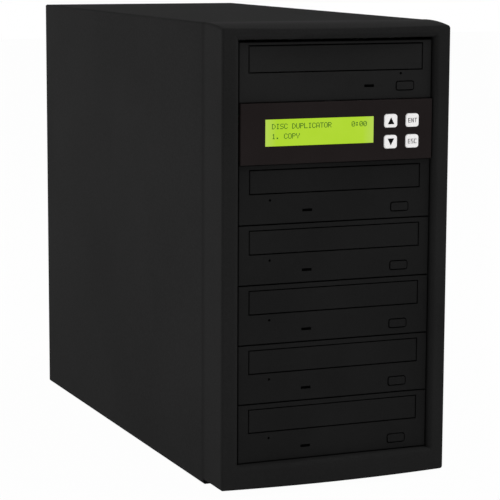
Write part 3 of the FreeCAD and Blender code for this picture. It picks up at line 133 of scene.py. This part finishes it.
# Rubber feet: four tapered pads of black moulded rubber pressed into the floor.
# They are matt, a little brown, and grey with dust where they meet the table.
DUST_HEIGHT = 3 * MM
DUST_SHARE = 0.5
RUBBER_GRIT = 0.8 * MM
RUBBER_RELIEF = 0.05 * MM
material, tree, spot = begin("moulded_rubber")
height = add(tree, "SeparateXYZ", {0: spot}).outputs["Z"]
grit = add(tree, "TexNoise", {"Vector": spot, "Scale": 1 / RUBBER_GRIT, "Detail": 2.0})
dust = add(tree, "MapRange", {"Value": height, "From Min": DUST_HEIGHT, "From Max": 0.0,
                              "To Max": DUST_SHARE})
tone = add(tree, "Mix", {0: dust.outputs[0], 6: linear("#232120"), 7: linear("#45423e")},
           data_type="RGBA")
bump = add(tree, "Bump", {"Height": grit.outputs[0], "Strength": 0.4,
                          "Distance": RUBBER_RELIEF})
shader = add(tree, "BsdfPrincipled", {
    "Base Color": tone.outputs[2], "Roughness": 0.85, "Normal": bump.outputs[0],
    "Specular IOR Level": 0.15})
add(tree, "OutputMaterial", {"Surface": shader.outputs[0]})
dress(material, "rubber_feet")


# Fans: square frames with struts, screwed to the rear wall and the power supply, and
# rotors with twisted blades, all moulded in black glass-filled polyester. The surface
# is smooth with faint flow marks.
dress(coated("black_polyester", "#242425", "#2d2d2e", patch=25, grain=0.8, relief=0.02,
             rough=0.4, gloss=0.3),
      "fan_frames", "lower_fan_rotor", "upper_fan_rotor", "supply_fan_rotor")


# Power supply box and case screws: bare zinc-plated steel. The plating is a grey
# metal with a faint crystal pattern about 9 mm wide and fine rolling lines along
# the sheet.
CRYSTAL = 9 * MM
ROLLING_LINE = 0.7 * MM
ROLLING_RELIEF = 0.02 * MM
ROLLING_STRETCH = 0.02


def plating(tree, spot):
    """Tone, roughness and normal of zinc plate: the cells of a Voronoi pattern set tone and
    roughness, and a noise drawn out 50 times along y gives the rolling lines."""
    crystal = add(tree, "TexVoronoi", {"Vector": spot, "Scale": 1 / CRYSTAL})
    shade = add(tree, "RGBToBW", {0: crystal.outputs["Color"]})
    along = add(tree, "Mapping", {"Vector": spot, "Scale": (1.0, ROLLING_STRETCH, 1.0)})
    rolling = add(tree, "TexNoise", {"Vector": along.outputs[0], "Scale": 1 / ROLLING_LINE,
                                     "Detail": 2.0})
    tone = add(tree, "Mix", {0: shade.outputs[0], 6: linear("#a6a9ab"), 7: linear("#bcbfc0")},
               data_type="RGBA")
    worn = add(tree, "MapRange", {"Value": shade.outputs[0], "To Min": 0.3, "To Max": 0.44})
    bump = add(tree, "Bump", {"Height": rolling.outputs[0], "Strength": 0.2,
                              "Distance": ROLLING_RELIEF})
    return tone.outputs[2], worn.outputs[0], bump.outputs[0]


material, tree, spot = begin("zinc_plated_steel")
tone, worn, bump = plating(tree, spot)
shader = add(tree, "BsdfPrincipled", {
    "Base Color": tone, "Roughness": worn, "Normal": bump, "Metallic": 1.0})
add(tree, "OutputMaterial", {"Surface": shader.outputs[0]})
dress(material, "supply_base", "supply_lid", "case_screws")


# Mains inlet and rocker: black thermoplastic, the inlet a matt flanged housing
# and the rocker polished by use.
dress(coated("black_thermoplastic", "#222223", "#29292a", patch=12, grain=0.7, relief=0.02,
             rough=0.5, gloss=0.25), "power_inlet")
dress(coated("polished_thermoplastic", "#1f1f20", "#262627", patch=8, grain=0.6, relief=0.01,
             rough=0.22, gloss=0.4), "power_switch")


# Inlet pins: three flat brass blades with a nickel plate and rounded edges, pressed
# into the floor of the inlet's mouth. The plate is bright, with faint drawing lines
# along the blades. Sizes of meshes are in mm.
def plates(outlines, front, back):
    """Points and faces of straight plates: each outline of points (x, z) in mm, anticlockwise as
    seen from the front, is set at y = front and at y = back, and a band of quads joins the two."""
    flat = np.concatenate(outlines)
    count = len(flat)
    ends = np.cumsum([len(outline) for outline in outlines])
    starts = np.r_[0, ends[:-1]]
    points = np.tile(np.insert(flat, 1, front, axis=1), (2, 1))
    points[count:, 1] = back
    corner = np.arange(count)
    after = corner + 1
    after[ends - 1] = starts
    band = np.stack([corner, corner + count, after + count, after], -1)
    near = [corner[a:b].tolist() for a, b in zip(starts, ends)]
    far = [(corner[a:b][::-1] + count).tolist() for a, b in zip(starts, ends)]
    return points, near + far + band.tolist()


def solid(name, points, faces):
    """A piece made of points in mm and the faces between them."""
    mesh = bpy.data.meshes.new(name)
    mesh.from_pydata(points * MM, [], faces)
    piece = bpy.data.objects.new(name, mesh)
    bpy.context.scene.collection.objects.link(piece)
    return piece


def rectangle(x, z, width, height):
    """The four corners of a rectangle, anticlockwise from the lower left: its middle less or plus
    half the width and half the height."""
    return np.array([(x - width / 2, z - height / 2), (x + width / 2, z - height / 2),
                     (x + width / 2, z + height / 2), (x - width / 2, z + height / 2)])


MOUTH_DROP = 12
PIN_WIDTH = 2.1
PIN_HEIGHT = 4.1
PIN_SIDE = 7
PIN_STEP = 2
PIN_ROOT = 15.9
PIN_TIP = 5.9
PIN_EDGE = 0.4
DRAWING_LINE = 0.3 * MM
DRAWING_STRETCH = 0.05
inlet = np.array(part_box("power_inlet")) / MM
inlet_x, _, inlet_z = inlet.mean(0)
inlet_rear = inlet[1][1]
seats = ((-PIN_SIDE, -PIN_STEP), (PIN_SIDE, -PIN_STEP), (0, PIN_STEP))
blades = [rectangle(inlet_x + x, inlet_z - MOUTH_DROP + z, PIN_WIDTH, PIN_HEIGHT)
          for x, z in seats]
pins = solid("inlet_pins", *plates(blades, inlet_rear - PIN_ROOT, inlet_rear - PIN_TIP))
rounding = pins.modifiers.new("rounded_edges", "BEVEL")
rounding.width = PIN_EDGE * MM
rounding.segments = 2
material, tree, spot = begin("nickel_plated_brass")
along = add(tree, "Mapping", {"Vector": spot, "Scale": (1.0, DRAWING_STRETCH, 1.0)})
drawing = add(tree, "TexNoise", {"Vector": along.outputs[0], "Scale": 1 / DRAWING_LINE,
                                 "Detail": 2.0})
tone = add(tree, "Mix", {0: drawing.outputs[0], 6: linear("#b7b2a4"), 7: linear("#cdc9bd")},
           data_type="RGBA")
shader = add(tree, "BsdfPrincipled", {
    "Base Color": tone.outputs[2], "Roughness": 0.28, "Metallic": 1.0})
add(tree, "OutputMaterial", {"Surface": shader.outputs[0]})
pins.data.materials.append(material)
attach(pins, "case")


# Rocker signs: a ring and a bar printed in white on the two halves of the rocker.
# Each half of its face rises 1 mm over 8.6 mm from the dip in the middle, and the
# rocker rests turned by 7 degrees with its lower end pressed in.
INK_MOTTLE = 1 * MM


def ink(name, dark, light):
    """A pad-printed film: a mottle of 1 mm mixes two close tones."""
    material, tree, spot = begin(name)
    mottle = add(tree, "TexNoise", {"Vector": spot, "Scale": 1 / INK_MOTTLE, "Detail": 2.0})
    tone = add(tree, "Mix", {0: mottle.outputs[0], 6: linear(dark), 7: linear(light)},
               data_type="RGBA")
    shader = add(tree, "BsdfPrincipled", {
        "Base Color": tone.outputs[2], "Roughness": 0.6, "Specular IOR Level": 0.03})
    add(tree, "OutputMaterial", {"Surface": shader.outputs[0]})
    return material


RING_STEPS = 24
RING_OUTER = 1.9
RING_INNER = 1.3
BAR_WIDTH = 0.8
BAR_HEIGHT = 3.8
SIGN_RISE = 4.6
SIGN_FRONT = 0.03
SIGN_ROOT = -0.05
FACE_DISTANCE = 5.4
FACE_RUN = 8.6
REST_TURN = np.radians(-7)
ROCKER_RISE = 12
AXIS_DEPTH = 5
# The ring is a rectangle of four corners (radius, y) carried round a circle.
turns = np.linspace(0, 2 * np.pi, RING_STEPS, endpoint=False)[:, None]
radius = np.array((RING_OUTER, RING_OUTER, RING_INNER, RING_INNER))
depth = np.array((SIGN_FRONT, SIGN_ROOT, SIGN_ROOT, SIGN_FRONT))
ring = np.stack(np.broadcast_arrays(np.cos(turns) * radius, depth,
                                    np.sin(turns) * radius + SIGN_RISE), -1).reshape(-1, 3)
corner = np.arange(len(ring)).reshape(RING_STEPS, -1)
beside = np.roll(corner, -1, 1)
quads = np.stack([corner, np.roll(corner, -1, 0), np.roll(beside, -1, 0), beside], -1)
# The bar faces the rear, so its outline runs the other way round.
outline = rectangle(0, -SIGN_RISE, BAR_WIDTH, BAR_HEIGHT)[::-1]
bar, sides = plates([outline], SIGN_FRONT, SIGN_ROOT)
points = np.concatenate([ring, bar])
faces = quads.reshape(-1, 4).tolist() + [[place + len(ring) for place in side] for side in sides]
points[:, 1] += FACE_DISTANCE + np.abs(points[:, 2]) / FACE_RUN
rest = np.array(Matrix.Rotation(REST_TURN, 3, "X"))
axis = (inlet_x, inlet_rear - AXIS_DEPTH, inlet_z + ROCKER_RISE)
signs = solid("rocker_signs", points @ rest.T + axis, faces)
signs.data.materials.append(ink("white_rocker_ink", "#dedede", "#ececec"))
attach(signs, "power_switch_body")


# Drive brackets: two folded plates of zinc-plated steel that carry the drives. Their
# front flanges, which the bezel snaps on to, are drawn black as painted shade, so that the
# seam past the edge of the cover stays dark and no bare metal shows there.
def zinc_with_black_and_painted_shade(tree, spot, black):
    """Zinc plate that is black, not metal, where the mask is 1: painted shade, and in part a
    loader frame.
    """
    tone, worn, bump = plating(tree, spot)
    bare = add(tree, "Math", {0: 1.0, 1: black}, operation="SUBTRACT")
    # This black is painted shade on the bracket flanges and housing ends, and in part the loader
    # frame inside the housings.
    tone = add(tree, "Mix", {0: black, 6: tone, 7: linear("#1b1b1c")}, data_type="RGBA")
    shader = add(tree, "BsdfPrincipled", {
        "Base Color": tone.outputs[2], "Roughness": worn, "Normal": bump,
        "Metallic": bare.outputs[0], "Specular IOR Level": 0.05})
    add(tree, "OutputMaterial", {"Surface": shader.outputs[0]})


# The first 15 mm of the brackets from the front are drawn black as painted shade in the seam
# behind the bezel.
FLANGE_DEPTH = 15 * MM
flange_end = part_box("drive_brackets")[0][1] + FLANGE_DEPTH
material, tree, spot = begin("zinc_plate_with_painted_shade_flanges")
along = add(tree, "SeparateXYZ", {0: spot}).outputs["Y"]
flange = add(tree, "Math", {0: along, 1: flange_end}, operation="LESS_THAN")
zinc_with_black_and_painted_shade(tree, spot, flange.outputs[0])
dress(material, "drive_brackets")


# Drive housings: a folded box of zinc-plated sheet, 1 mm thick. What lies within the
# middle of the sheet is black: in part a loader frame moulded in black ABS, and in part
# painted shade for the enclosed inside. The front end is painted shade, black like the
# flanges. The bays are 42.5 mm apart.
BAY_PITCH = 42.5 * MM
BAY_FLOOR = 22.8 * MM
DRIVE_GAP = 1.3 * MM
HALF_SHEET = 0.5 * MM


def bay_level(tree, spot):
    """Height above the floor of the bay: the remainder of z less the lowest floor by the pitch."""
    height = add(tree, "SeparateXYZ", {0: spot}).outputs["Z"]
    above = add(tree, "Math", {0: height, 1: BAY_FLOOR}, operation="SUBTRACT")
    return add(tree, "Math", {0: above.outputs[0], 1: BAY_PITCH}, operation="MODULO").outputs[0]


drives = ["source"] + [f"burner_{number}" for number in range(1, 6)]
low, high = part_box("source_housing")
reach = (BAY_PITCH - DRIVE_GAP) / 2 - HALF_SHEET
material, tree, spot = begin("zinc_plate_black_abs_and_painted_shade")
axes = add(tree, "SeparateXYZ", {0: spot})
aside = add(tree, "Math", {0: axes.outputs["X"]}, operation="ABSOLUTE")
level = bay_level(tree, spot)
between = add(tree, "Math", {0: aside.outputs[0], 1: high[0] - HALF_SHEET},
              operation="LESS_THAN")
ahead = add(tree, "Math", {0: axes.outputs["Y"], 1: high[1] - HALF_SHEET},
            operation="LESS_THAN")
middle = add(tree, "Math", {0: level, 1: BAY_PITCH / 2, 2: reach}, operation="COMPARE")
# The inside of each bay is black, in part the loader frame's ABS and in part painted shade.
inside = add(tree, "Math", {0: between.outputs[0], 1: ahead.outputs[0]}, operation="MULTIPLY")
inside = add(tree, "Math", {0: inside.outputs[0], 1: middle.outputs[0]}, operation="MULTIPLY")
# Painted shade: the front end is black like the bracket flanges.
end = add(tree, "Math", {0: axes.outputs["Y"], 1: low[1] + FLANGE_DEPTH}, operation="LESS_THAN")
black = add(tree, "Math", {0: inside.outputs[0], 1: end.outputs[0]}, operation="MAXIMUM")
zinc_with_black_and_painted_shade(tree, spot, black.outputs[0])
dress(material, *[f"{name}_housing" for name in drives])


# Disc spindles: a turned aluminium rotor and a pale acetal hub, pressed on to it,
# that the disc centres on. The height within a bay tells hub and rotor apart.
HUB_LEVEL = 16.1 * MM
TURNING_MARK = 0.4 * MM
material, tree, spot = begin("turned_aluminium_and_acetal")
hub = add(tree, "Math", {0: bay_level(tree, spot), 1: HUB_LEVEL}, operation="GREATER_THAN")
turning = add(tree, "TexNoise", {"Vector": spot, "Scale": 1 / TURNING_MARK, "Detail": 1.0})
bare = add(tree, "Math", {0: 1.0, 1: hub.outputs[0]}, operation="SUBTRACT")
tone = add(tree, "Mix", {0: hub.outputs[0], 6: linear("#b9bbbd"), 7: linear("#d9d6cc")},
           data_type="RGBA")
worn = add(tree, "MapRange", {"Value": turning.outputs[0], "To Min": 0.25, "To Max": 0.42})
shader = add(tree, "BsdfPrincipled", {
    "Base Color": tone.outputs[2], "Roughness": worn.outputs[0], "Metallic": bare.outputs[0]})
add(tree, "OutputMaterial", {"Surface": shader.outputs[0]})
dress(material, *[f"{name}_spindle" for name in drives])


# Disc trays: moulded in dark grey ABS with stepped seats for two disc sizes.
# Discs and fingers polish them, so the plastic is a little smoother in broad patches.
dress(coated("tray_grey_abs", "#333436", "#3a3b3d", patch=50, grain=0.9, relief=0.03,
             rough=0.48, gloss=0.25), *[f"{name}_tray" for name in drives])


# Drive fronts: faceplates, tray fronts and eject buttons in satin black ABS, from
# finely blasted moulds. The plastic of the source drive is a shade paler than that
# of the burners.
fronts = ("faceplate", "tray_front", "eject_button")
dress(coated("satin_black_abs", "#202020", "#262626", patch=60, grain=0.9, relief=0.02,
             rough=0.46, gloss=0.01),
      *[f"{name}_{kind}" for name in drives[1:] for kind in fronts])
dress(coated("paler_black_abs", "#262626", "#2c2c2c", patch=60, grain=0.9, relief=0.02,
             rough=0.46, gloss=0.01), *[f"source_{kind}" for kind in fronts])


# Activity lights: a bar of smoked acrylic in each faceplate, unlit. It is darker
# and smoother than the plastic round it, with faint flow lines.
FLOW_LINE = 3 * MM
material, tree, spot = begin("smoked_acrylic")
flow = add(tree, "TexNoise", {"Vector": spot, "Scale": 1 / FLOW_LINE, "Detail": 1.0})
tone = add(tree, "Mix", {0: flow.outputs[0], 6: linear("#020202"), 7: linear("#050505")},
           data_type="RGBA")
shader = add(tree, "BsdfPrincipled", {
    "Base Color": tone.outputs[2], "Roughness": 0.3, "Specular IOR Level": 0.004})
add(tree, "OutputMaterial", {"Surface": shader.outputs[0]})
dress(material, "activity_lights")


# Control panel: a smooth moulding in black ABS with a warm cast, set forward of
# the drives, with a window for the screen and four key holes.
dress(coated("warm_black_abs", "#272222", "#2c2727", patch=40, grain=0.8, relief=0.01,
             rough=0.38, gloss=0.015), "control_panel")


# Screen: a backlit liquid crystal module with its glass in the panel's window. The
# backlight glows yellow-green, paler towards both ends where its lamps sit.
GLASS_RECESS = 0.4
GLASS_SKIN = 0.2
LAMP_START = 33 * MM
LAMP_END = 42 * MM
LAMP_SHARE = 0.7
GLOW_CLOUD = 14 * MM
GLOW_POWER = 0.92
screen_x, _, screen_z = np.array(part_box("lcd_screen")).mean(0) / MM
glass_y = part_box("control_panel")[0][1] / MM + GLASS_RECESS
material, tree, spot = begin("backlit_screen")
axes = add(tree, "SeparateXYZ", {0: spot})
aside = add(tree, "Math", {0: axes.outputs["X"], 1: screen_x * MM}, operation="SUBTRACT")
aside = add(tree, "Math", {0: aside.outputs[0]}, operation="ABSOLUTE")
ends = add(tree, "MapRange", {"Value": aside.outputs[0], "From Min": LAMP_START,
                              "From Max": LAMP_END, "To Max": LAMP_SHARE})
cloud = add(tree, "TexNoise", {"Vector": spot, "Scale": 1 / GLOW_CLOUD, "Detail": 1.0})
middle = add(tree, "Mix", {0: cloud.outputs[0], 6: linear("#a9d31a"), 7: linear("#b3d92e")},
             data_type="RGBA")
glow = add(tree, "Mix", {0: ends.outputs[0], 6: middle.outputs[2], 7: linear("#b8d460")},
           data_type="RGBA")
glass = add(tree, "Math", {0: axes.outputs["Y"], 1: (glass_y + GLASS_SKIN) * MM},
            operation="LESS_THAN")
power = add(tree, "Math", {0: glass.outputs[0], 1: GLOW_POWER}, operation="MULTIPLY")
shader = add(tree, "BsdfPrincipled", {
    "Base Color": linear("#3d4f10"), "Roughness": 0.2, "Specular IOR Level": 0.2,
    "Emission Color": glow.outputs[2], "Emission Strength": power.outputs[0]})
add(tree, "OutputMaterial", {"Surface": shader.outputs[0]})
dress(material, "lcd_screen")


# Screen characters: dark liquid crystal dots, five by seven to a figure, in two
# rows of 24 places on the glass. The machine's kind, the time and the first entry
# of its menu show; each dot is a thin rectangular plate.
FIGURES = {
    "A": "01110100011000110001111111000110001", "C": "01110100011000010000100001000101110",
    "D": "11100100101000110001100011001011100", "I": "01110001000010000100001000010001110",
    "L": "10000100001000010000100001000011111", "O": "01110100011000110001100011000101110",
    "P": "11110100011000111110100001000010000", "R": "11110100011000111110101001001010001",
    "S": "01111100001000001110000010000111110", "T": "11111001000010000100001000010000100",
    "U": "10001100011000110001100011000101110", "Y": "10001100011000101010001000010000100",
    "0": "01110100011001110101110011000101110", "1": "00100011000010000100001000010001110",
    ":": "00000011000110000000011000110000000", ".": "0" * 25 + "0110001100", " ": "0" * 35}
ROWS = ("DISC DUPLICATOR     0:00", "1. COPY                 ")
PLACES = len(ROWS[0])
PLACE_PITCH = 3.05
ROW_PITCH = 6.9
FIRST_ROW_RISE = 6.2
DOT_WIDTH = 0.53
DOT_HEIGHT = 0.5
DOT_GAP = 0.02
DOT_FRONT = 0.03
DOT_ROOT = 0.02
DOT_CLOUD = 6 * MM
lit = np.array([[[int(bit) for bit in FIGURES[sign]] for sign in row] for row in ROWS])
row, seat, line, column = np.nonzero(lit.reshape(len(ROWS), PLACES, 7, 5))
dot_x = screen_x + (seat - PLACES / 2) * PLACE_PITCH + column * (DOT_WIDTH + DOT_GAP)
dot_z = screen_z + FIRST_ROW_RISE - row * ROW_PITCH - line * (DOT_HEIGHT + DOT_GAP)
dot = rectangle(DOT_WIDTH / 2, -DOT_HEIGHT / 2, DOT_WIDTH, DOT_HEIGHT)
dots = dot + np.stack([dot_x, dot_z], -1)[:, None, :]
characters = solid("screen_characters", *plates(dots, glass_y - DOT_FRONT, glass_y + DOT_ROOT))
material, tree, spot = begin("liquid_crystal_dots")
cloud = add(tree, "TexNoise", {"Vector": spot, "Scale": 1 / DOT_CLOUD, "Detail": 1.0})
tone = add(tree, "Mix", {0: cloud.outputs[0], 6: linear("#155c06"), 7: linear("#206c0c")},
           data_type="RGBA")
shader = add(tree, "BsdfPrincipled", {
    "Base Color": linear("#1c2c08"), "Roughness": 0.3, "Specular IOR Level": 0.2,
    "Emission Color": tone.outputs[2], "Emission Strength": 0.7})
add(tree, "OutputMaterial", {"Surface": shader.outputs[0]})
characters.data.materials.append(material)
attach(characters, "case")


# Keys: four square caps of white ABS with rounded corners. They are clean and satin,
# with a trace of grey where fingers press them, and a weak glow is painted light that
# makes the white caps brighter, though no lamp is in them.
KEY_CLOUD = 4 * MM
KEY_GRAIN = 0.5 * MM
KEY_RELIEF = 0.01 * MM
material, tree, spot = begin("white_abs_with_painted_glow")
cloud = add(tree, "TexNoise", {"Vector": spot, "Scale": 1 / KEY_CLOUD, "Detail": 2.0})
grain = add(tree, "TexNoise", {"Vector": spot, "Scale": 1 / KEY_GRAIN, "Detail": 1.0})
tone = add(tree, "Mix", {0: cloud.outputs[0], 6: linear("#f1efee"), 7: linear("#fbfafa")},
           data_type="RGBA")
bump = add(tree, "Bump", {"Height": grain.outputs[0], "Strength": 0.2, "Distance": KEY_RELIEF})
# The emission is painted light: a glow of the caps, which hold no lamp.
shader = add(tree, "BsdfPrincipled", {
    "Base Color": tone.outputs[2], "Roughness": 0.4, "Normal": bump.outputs[0], "IOR": 1.53,
    "Emission Color": linear("#fbfafa"), "Emission Strength": 0.33})
add(tree, "OutputMaterial", {"Surface": shader.outputs[0]})
dress(material, "key_up", "key_down", "key_enter", "key_escape")


# Key signs: printed on the caps, black arrows on the left pair and short grey words
# on the right pair, for enter and escape. The ink is a thin matt film, and each
# letter is one plate.
ARROW = np.array([(-2.6, -2.4), (2.6, -2.4), (0.0, 2.6)])
LETTER_WIDTH = 1.95
LETTER_HEIGHT = 3.28
LETTER_PITCH = 2.5
STROKE = 0.48
SLANT = 1.0
MIDDLE_BAR = (LETTER_HEIGHT - STROKE) / 2
FILM_FRONT = 0.02
FILM_ROOT = 0.05
# A letter's outline runs over a grid: of each pair, the first figure numbers the line
# across and the second the line up.
LETTERS = {"E": "00 50 51 11 12 52 53 13 14 54 55 05", "N": "00 10 17 40 50 55 45 46 15 05",
           "T": "20 30 34 54 55 05 04 24", "C": "00 50 51 11 14 54 55 05",
           "S": "00 50 53 13 14 54 55 05 02 42 41 01"}
ACROSS = np.array((0, STROKE, (LETTER_WIDTH - STROKE) / 2, (LETTER_WIDTH + STROKE) / 2,
                   LETTER_WIDTH - STROKE, LETTER_WIDTH)) - LETTER_WIDTH / 2
UP = np.array((0, STROKE, MIDDLE_BAR, MIDDLE_BAR + STROKE, LETTER_HEIGHT - STROKE,
               LETTER_HEIGHT, SLANT, LETTER_HEIGHT - SLANT)) - LETTER_HEIGHT / 2


def word(text):
    """The outline of each letter: its grid lines give x and z, and the letters stand one pitch
    apart, half of them each side of the middle."""
    shift = (np.arange(len(text)) - (len(text) - 1) / 2) * LETTER_PITCH
    pairs = [np.array([list(pair) for pair in LETTERS[sign].split()], int) for sign in text]
    return [np.stack([ACROSS[pair[:, 0]] + x, UP[pair[:, 1]]], -1)
            for pair, x in zip(pairs, shift)]


black_ink = ink("black_key_ink", "#0c0c0c", "#161616")
grey_ink = ink("grey_key_ink", "#5c5a5a", "#6a6868")
for key, sign, film in (("up", [ARROW], black_ink), ("down", [-ARROW], black_ink),
                        ("enter", word("ENT"), grey_ink), ("escape", word("ESC"), grey_ink)):
    cap = np.array(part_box(f"key_{key}")) / MM
    face_y = cap[0][1]
    centre = cap.mean(0)[[0, 2]]
    outlines = [outline + centre for outline in sign]
    mark = solid(f"key_{key}_sign", *plates(outlines, face_y - FILM_FRONT, face_y + FILM_ROOT))
    mark.data.materials.append(film)
    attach(mark, f"key_{key}_body")


# Circuit boards: green glass-fibre laminate behind the panel, with darker solder
# mask between the copper tracks, which run about 2 mm apart. A wave texture has one
# wave in 0.314 of its scale size, so that size is 6.3 mm.
TRACK_SIZE = 6.3 * MM
TRACK_TURN = 0.79
TRACK_RELIEF = 0.03 * MM
material, tree, spot = begin("solder_masked_laminate")
turned = add(tree, "Mapping", {"Vector": spot, "Rotation": (0.0, 0.0, TRACK_TURN)})
tracks = add(tree, "TexWave", {"Vector": turned.outputs[0], "Scale": 1 / TRACK_SIZE,
                               "Distortion": 4.0, "Detail": 1.0})
ridge = add(tree, "MapRange", {"Value": tracks.outputs["Fac"], "From Min": 0.45,
                               "From Max": 0.55})
tone = add(tree, "Mix", {0: ridge.outputs[0], 6: linear("#174a2c"), 7: linear("#23653c")},
           data_type="RGBA")
bump = add(tree, "Bump", {"Height": ridge.outputs[0], "Strength": 0.3,
                          "Distance": TRACK_RELIEF})
shader = add(tree, "BsdfPrincipled", {
    "Base Color": tone.outputs[2], "Roughness": 0.3, "Normal": bump.outputs[0]})
add(tree, "OutputMaterial", {"Surface": shader.outputs[0]})
dress(material, "display_board", "controller_board")


# Wiring: flat red data cables in soft vinyl with ribs 1 mm apart, and one black power
# loom on the right, more than 50 mm from the middle.
LOOM_EDGE = 50 * MM
RIB_PITCH = 1 * MM
RIB_RELIEF = 0.1 * MM
material, tree, spot = begin("vinyl_cable_jacket")
across = add(tree, "SeparateXYZ", {0: spot}).outputs["X"]
loom = add(tree, "Math", {0: across, 1: LOOM_EDGE}, operation="GREATER_THAN")
ribs = add(tree, "Math", {0: across, 1: 2 * np.pi / RIB_PITCH}, operation="MULTIPLY")
wave = add(tree, "Math", {0: ribs.outputs[0]}, operation="SINE")
tone = add(tree, "Mix", {0: loom.outputs[0], 6: linear("#a3231c"), 7: linear("#1d1d1e")},
           data_type="RGBA")
bump = add(tree, "Bump", {"Height": wave.outputs[0], "Strength": 0.4, "Distance": RIB_RELIEF})
shader = add(tree, "BsdfPrincipled", {
    "Base Color": tone.outputs[2], "Roughness": 0.45, "Normal": bump.outputs[0],
    "Specular IOR Level": 0.3})
add(tree, "OutputMaterial", {"Surface": shader.outputs[0]})
dress(material, "wiring")


# Front bezel: a deep frame of black ABS moulded in one piece, snapped on to the
# drive brackets. Its spark-eroded texture keeps it matt; the texture is drawn at
# 1.2 mm, coarser than the real 0.2 mm, so that it shows.
# The joint of bezel and cover, where painted shade darkens both finishes in place of the shadow of
# the step between them.
JOINT_GAP = 0.8 * MM
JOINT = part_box("cover")[0][1] - JOINT_GAP / 2
dress(coated("moulded_black_abs", "#272727", "#2d2d2d", patch=90, grain=1.2, relief=0.05,
             rough=0.62, gloss=0.0025, joint=JOINT), "front_bezel")


# Cover: one steel sheet folded over the top and both sides, with a black powder
# coat. The coat is matt and even, with painted shade darkening it along the joint with
# the bezel, and an orange-peel grain drawn at 1.8 mm, coarser than the real 0.5 mm, so that it
# shows.
dress(coated("black_powder_coat", "#282828", "#2e2e2e", patch=120, grain=1.8, relief=0.06,
             rough=0.75, gloss=0.0018, joint=JOINT), "cover")


# Stage: a plain pale floor and background, a large soft light low at the left rear,
# another high in front on the right, a weak one low in front on the left, and the
# camera of the photograph.
FLOOR_REACH = 6
FLOOR_WHITE = 0.98
span = rectangle(0, 0, 2 * FLOOR_REACH, 2 * FLOOR_REACH)
mesh = bpy.data.meshes.new("floor")
mesh.from_pydata(np.c_[span, np.zeros(len(span))], [], [(0, 1, 2, 3)])
floor = bpy.data.objects.new("floor", mesh)
bpy.context.scene.collection.objects.link(floor)


def seen(tree):
    """1 for a ray from the camera or one that comes by a reflection or through glass, else 0:
    the largest of the three marks of the light path."""
    path = add(tree, "LightPath")
    direct = add(tree, "Math", {0: path.outputs["Is Camera Ray"],
                                1: path.outputs["Is Glossy Ray"]}, operation="MAXIMUM")
    return add(tree, "Math", {0: direct.outputs[0], 1: path.outputs["Is Transmission Ray"]},
               operation="MAXIMUM").outputs[0]


material, tree, _ = begin("pale_floor")
share = add(tree, "Math", {0: seen(tree), 1: FLOOR_WHITE}, operation="MULTIPLY")
shadow = add(tree, "BsdfDiffuse", {"Color": linear("#fafafa")})
white = add(tree, "Emission", {"Color": linear("#ffffff"), "Strength": 1.0})
shader = add(tree, "MixShader", {0: share.outputs[0], 1: shadow.outputs[0], 2: white.outputs[0]})
add(tree, "OutputMaterial", {"Surface": shader.outputs[0]})
mesh.materials.append(material)

ROOM_LIGHT = 0.26
world = bpy.data.worlds.new("studio")
bpy.context.scene.world = world
world.use_nodes = True
tree = world.node_tree
tree.nodes.clear()
level = add(tree, "MapRange", {"Value": seen(tree), "To Min": ROOM_LIGHT, "To Max": 1.0})
sky = add(tree, "Background", {"Color": linear("#ffffff"), "Strength": level.outputs[0]})
add(tree, "OutputWorld", {"Surface": sky.outputs[0]})

# Each light's name, place and width in metres, and power in watts.
LIGHTS = (("key_light", (-1.75, 1.15, 0.35), 1.2, 27.0),
          ("front_light", (1.7, -1.0, 2.1), 1.0, 26.0),
          ("low_light", (-0.3, -0.62, 0.12), 0.2, 0.25))
LIGHT_AIM = Vector((0, 0, 0.15))
for name, place, width, watts in LIGHTS:
    lamp = bpy.data.lights.new(name, "AREA")
    lamp.size = width
    lamp.energy = watts
    light = bpy.data.objects.new(name, lamp)
    bpy.context.scene.collection.objects.link(light)
    light.location = place
    light.rotation_euler = (LIGHT_AIM - Vector(place)).to_track_quat("-Z", "Y").to_euler()
    light.visible_camera = False

AZIMUTH, ELEVATION, ROLL = np.radians(-22.646), np.radians(8.724), 0.0045
TARGET = np.array((-4.367, -54.9, 151.41)) * MM
DISTANCE = 1.59592
SENSOR_WIDTH = 36
FOCAL_PIXELS = 2059.8
IMAGE_PIXELS = 500
back = np.array((np.sin(AZIMUTH) * np.cos(ELEVATION), -np.cos(AZIMUTH) * np.cos(ELEVATION),
                 np.sin(ELEVATION)))
right = np.cross((0, 0, 1), back)
right = right / np.linalg.norm(right)
up = np.cross(back, right)
turned_right = right * np.cos(ROLL) + up * np.sin(ROLL)
turned_up = up * np.cos(ROLL) - right * np.sin(ROLL)
stand = np.eye(4)
stand[:3, :3] = np.stack([turned_right, turned_up, back], 1)
stand[:3, 3] = TARGET + back * DISTANCE
lens = bpy.data.cameras.new("camera")
lens.sensor_width = SENSOR_WIDTH
lens.lens = SENSOR_WIDTH * FOCAL_PIXELS / IMAGE_PIXELS
lens.clip_end = 50
camera = bpy.data.objects.new("camera", lens)
bpy.context.scene.collection.objects.link(camera)
camera.matrix_world = Matrix(stand.tolist())
bpy.context.scene.camera = camera
bpy.context.scene.view_settings.view_transform = "Standard"

bpy.context.view_layer.update()
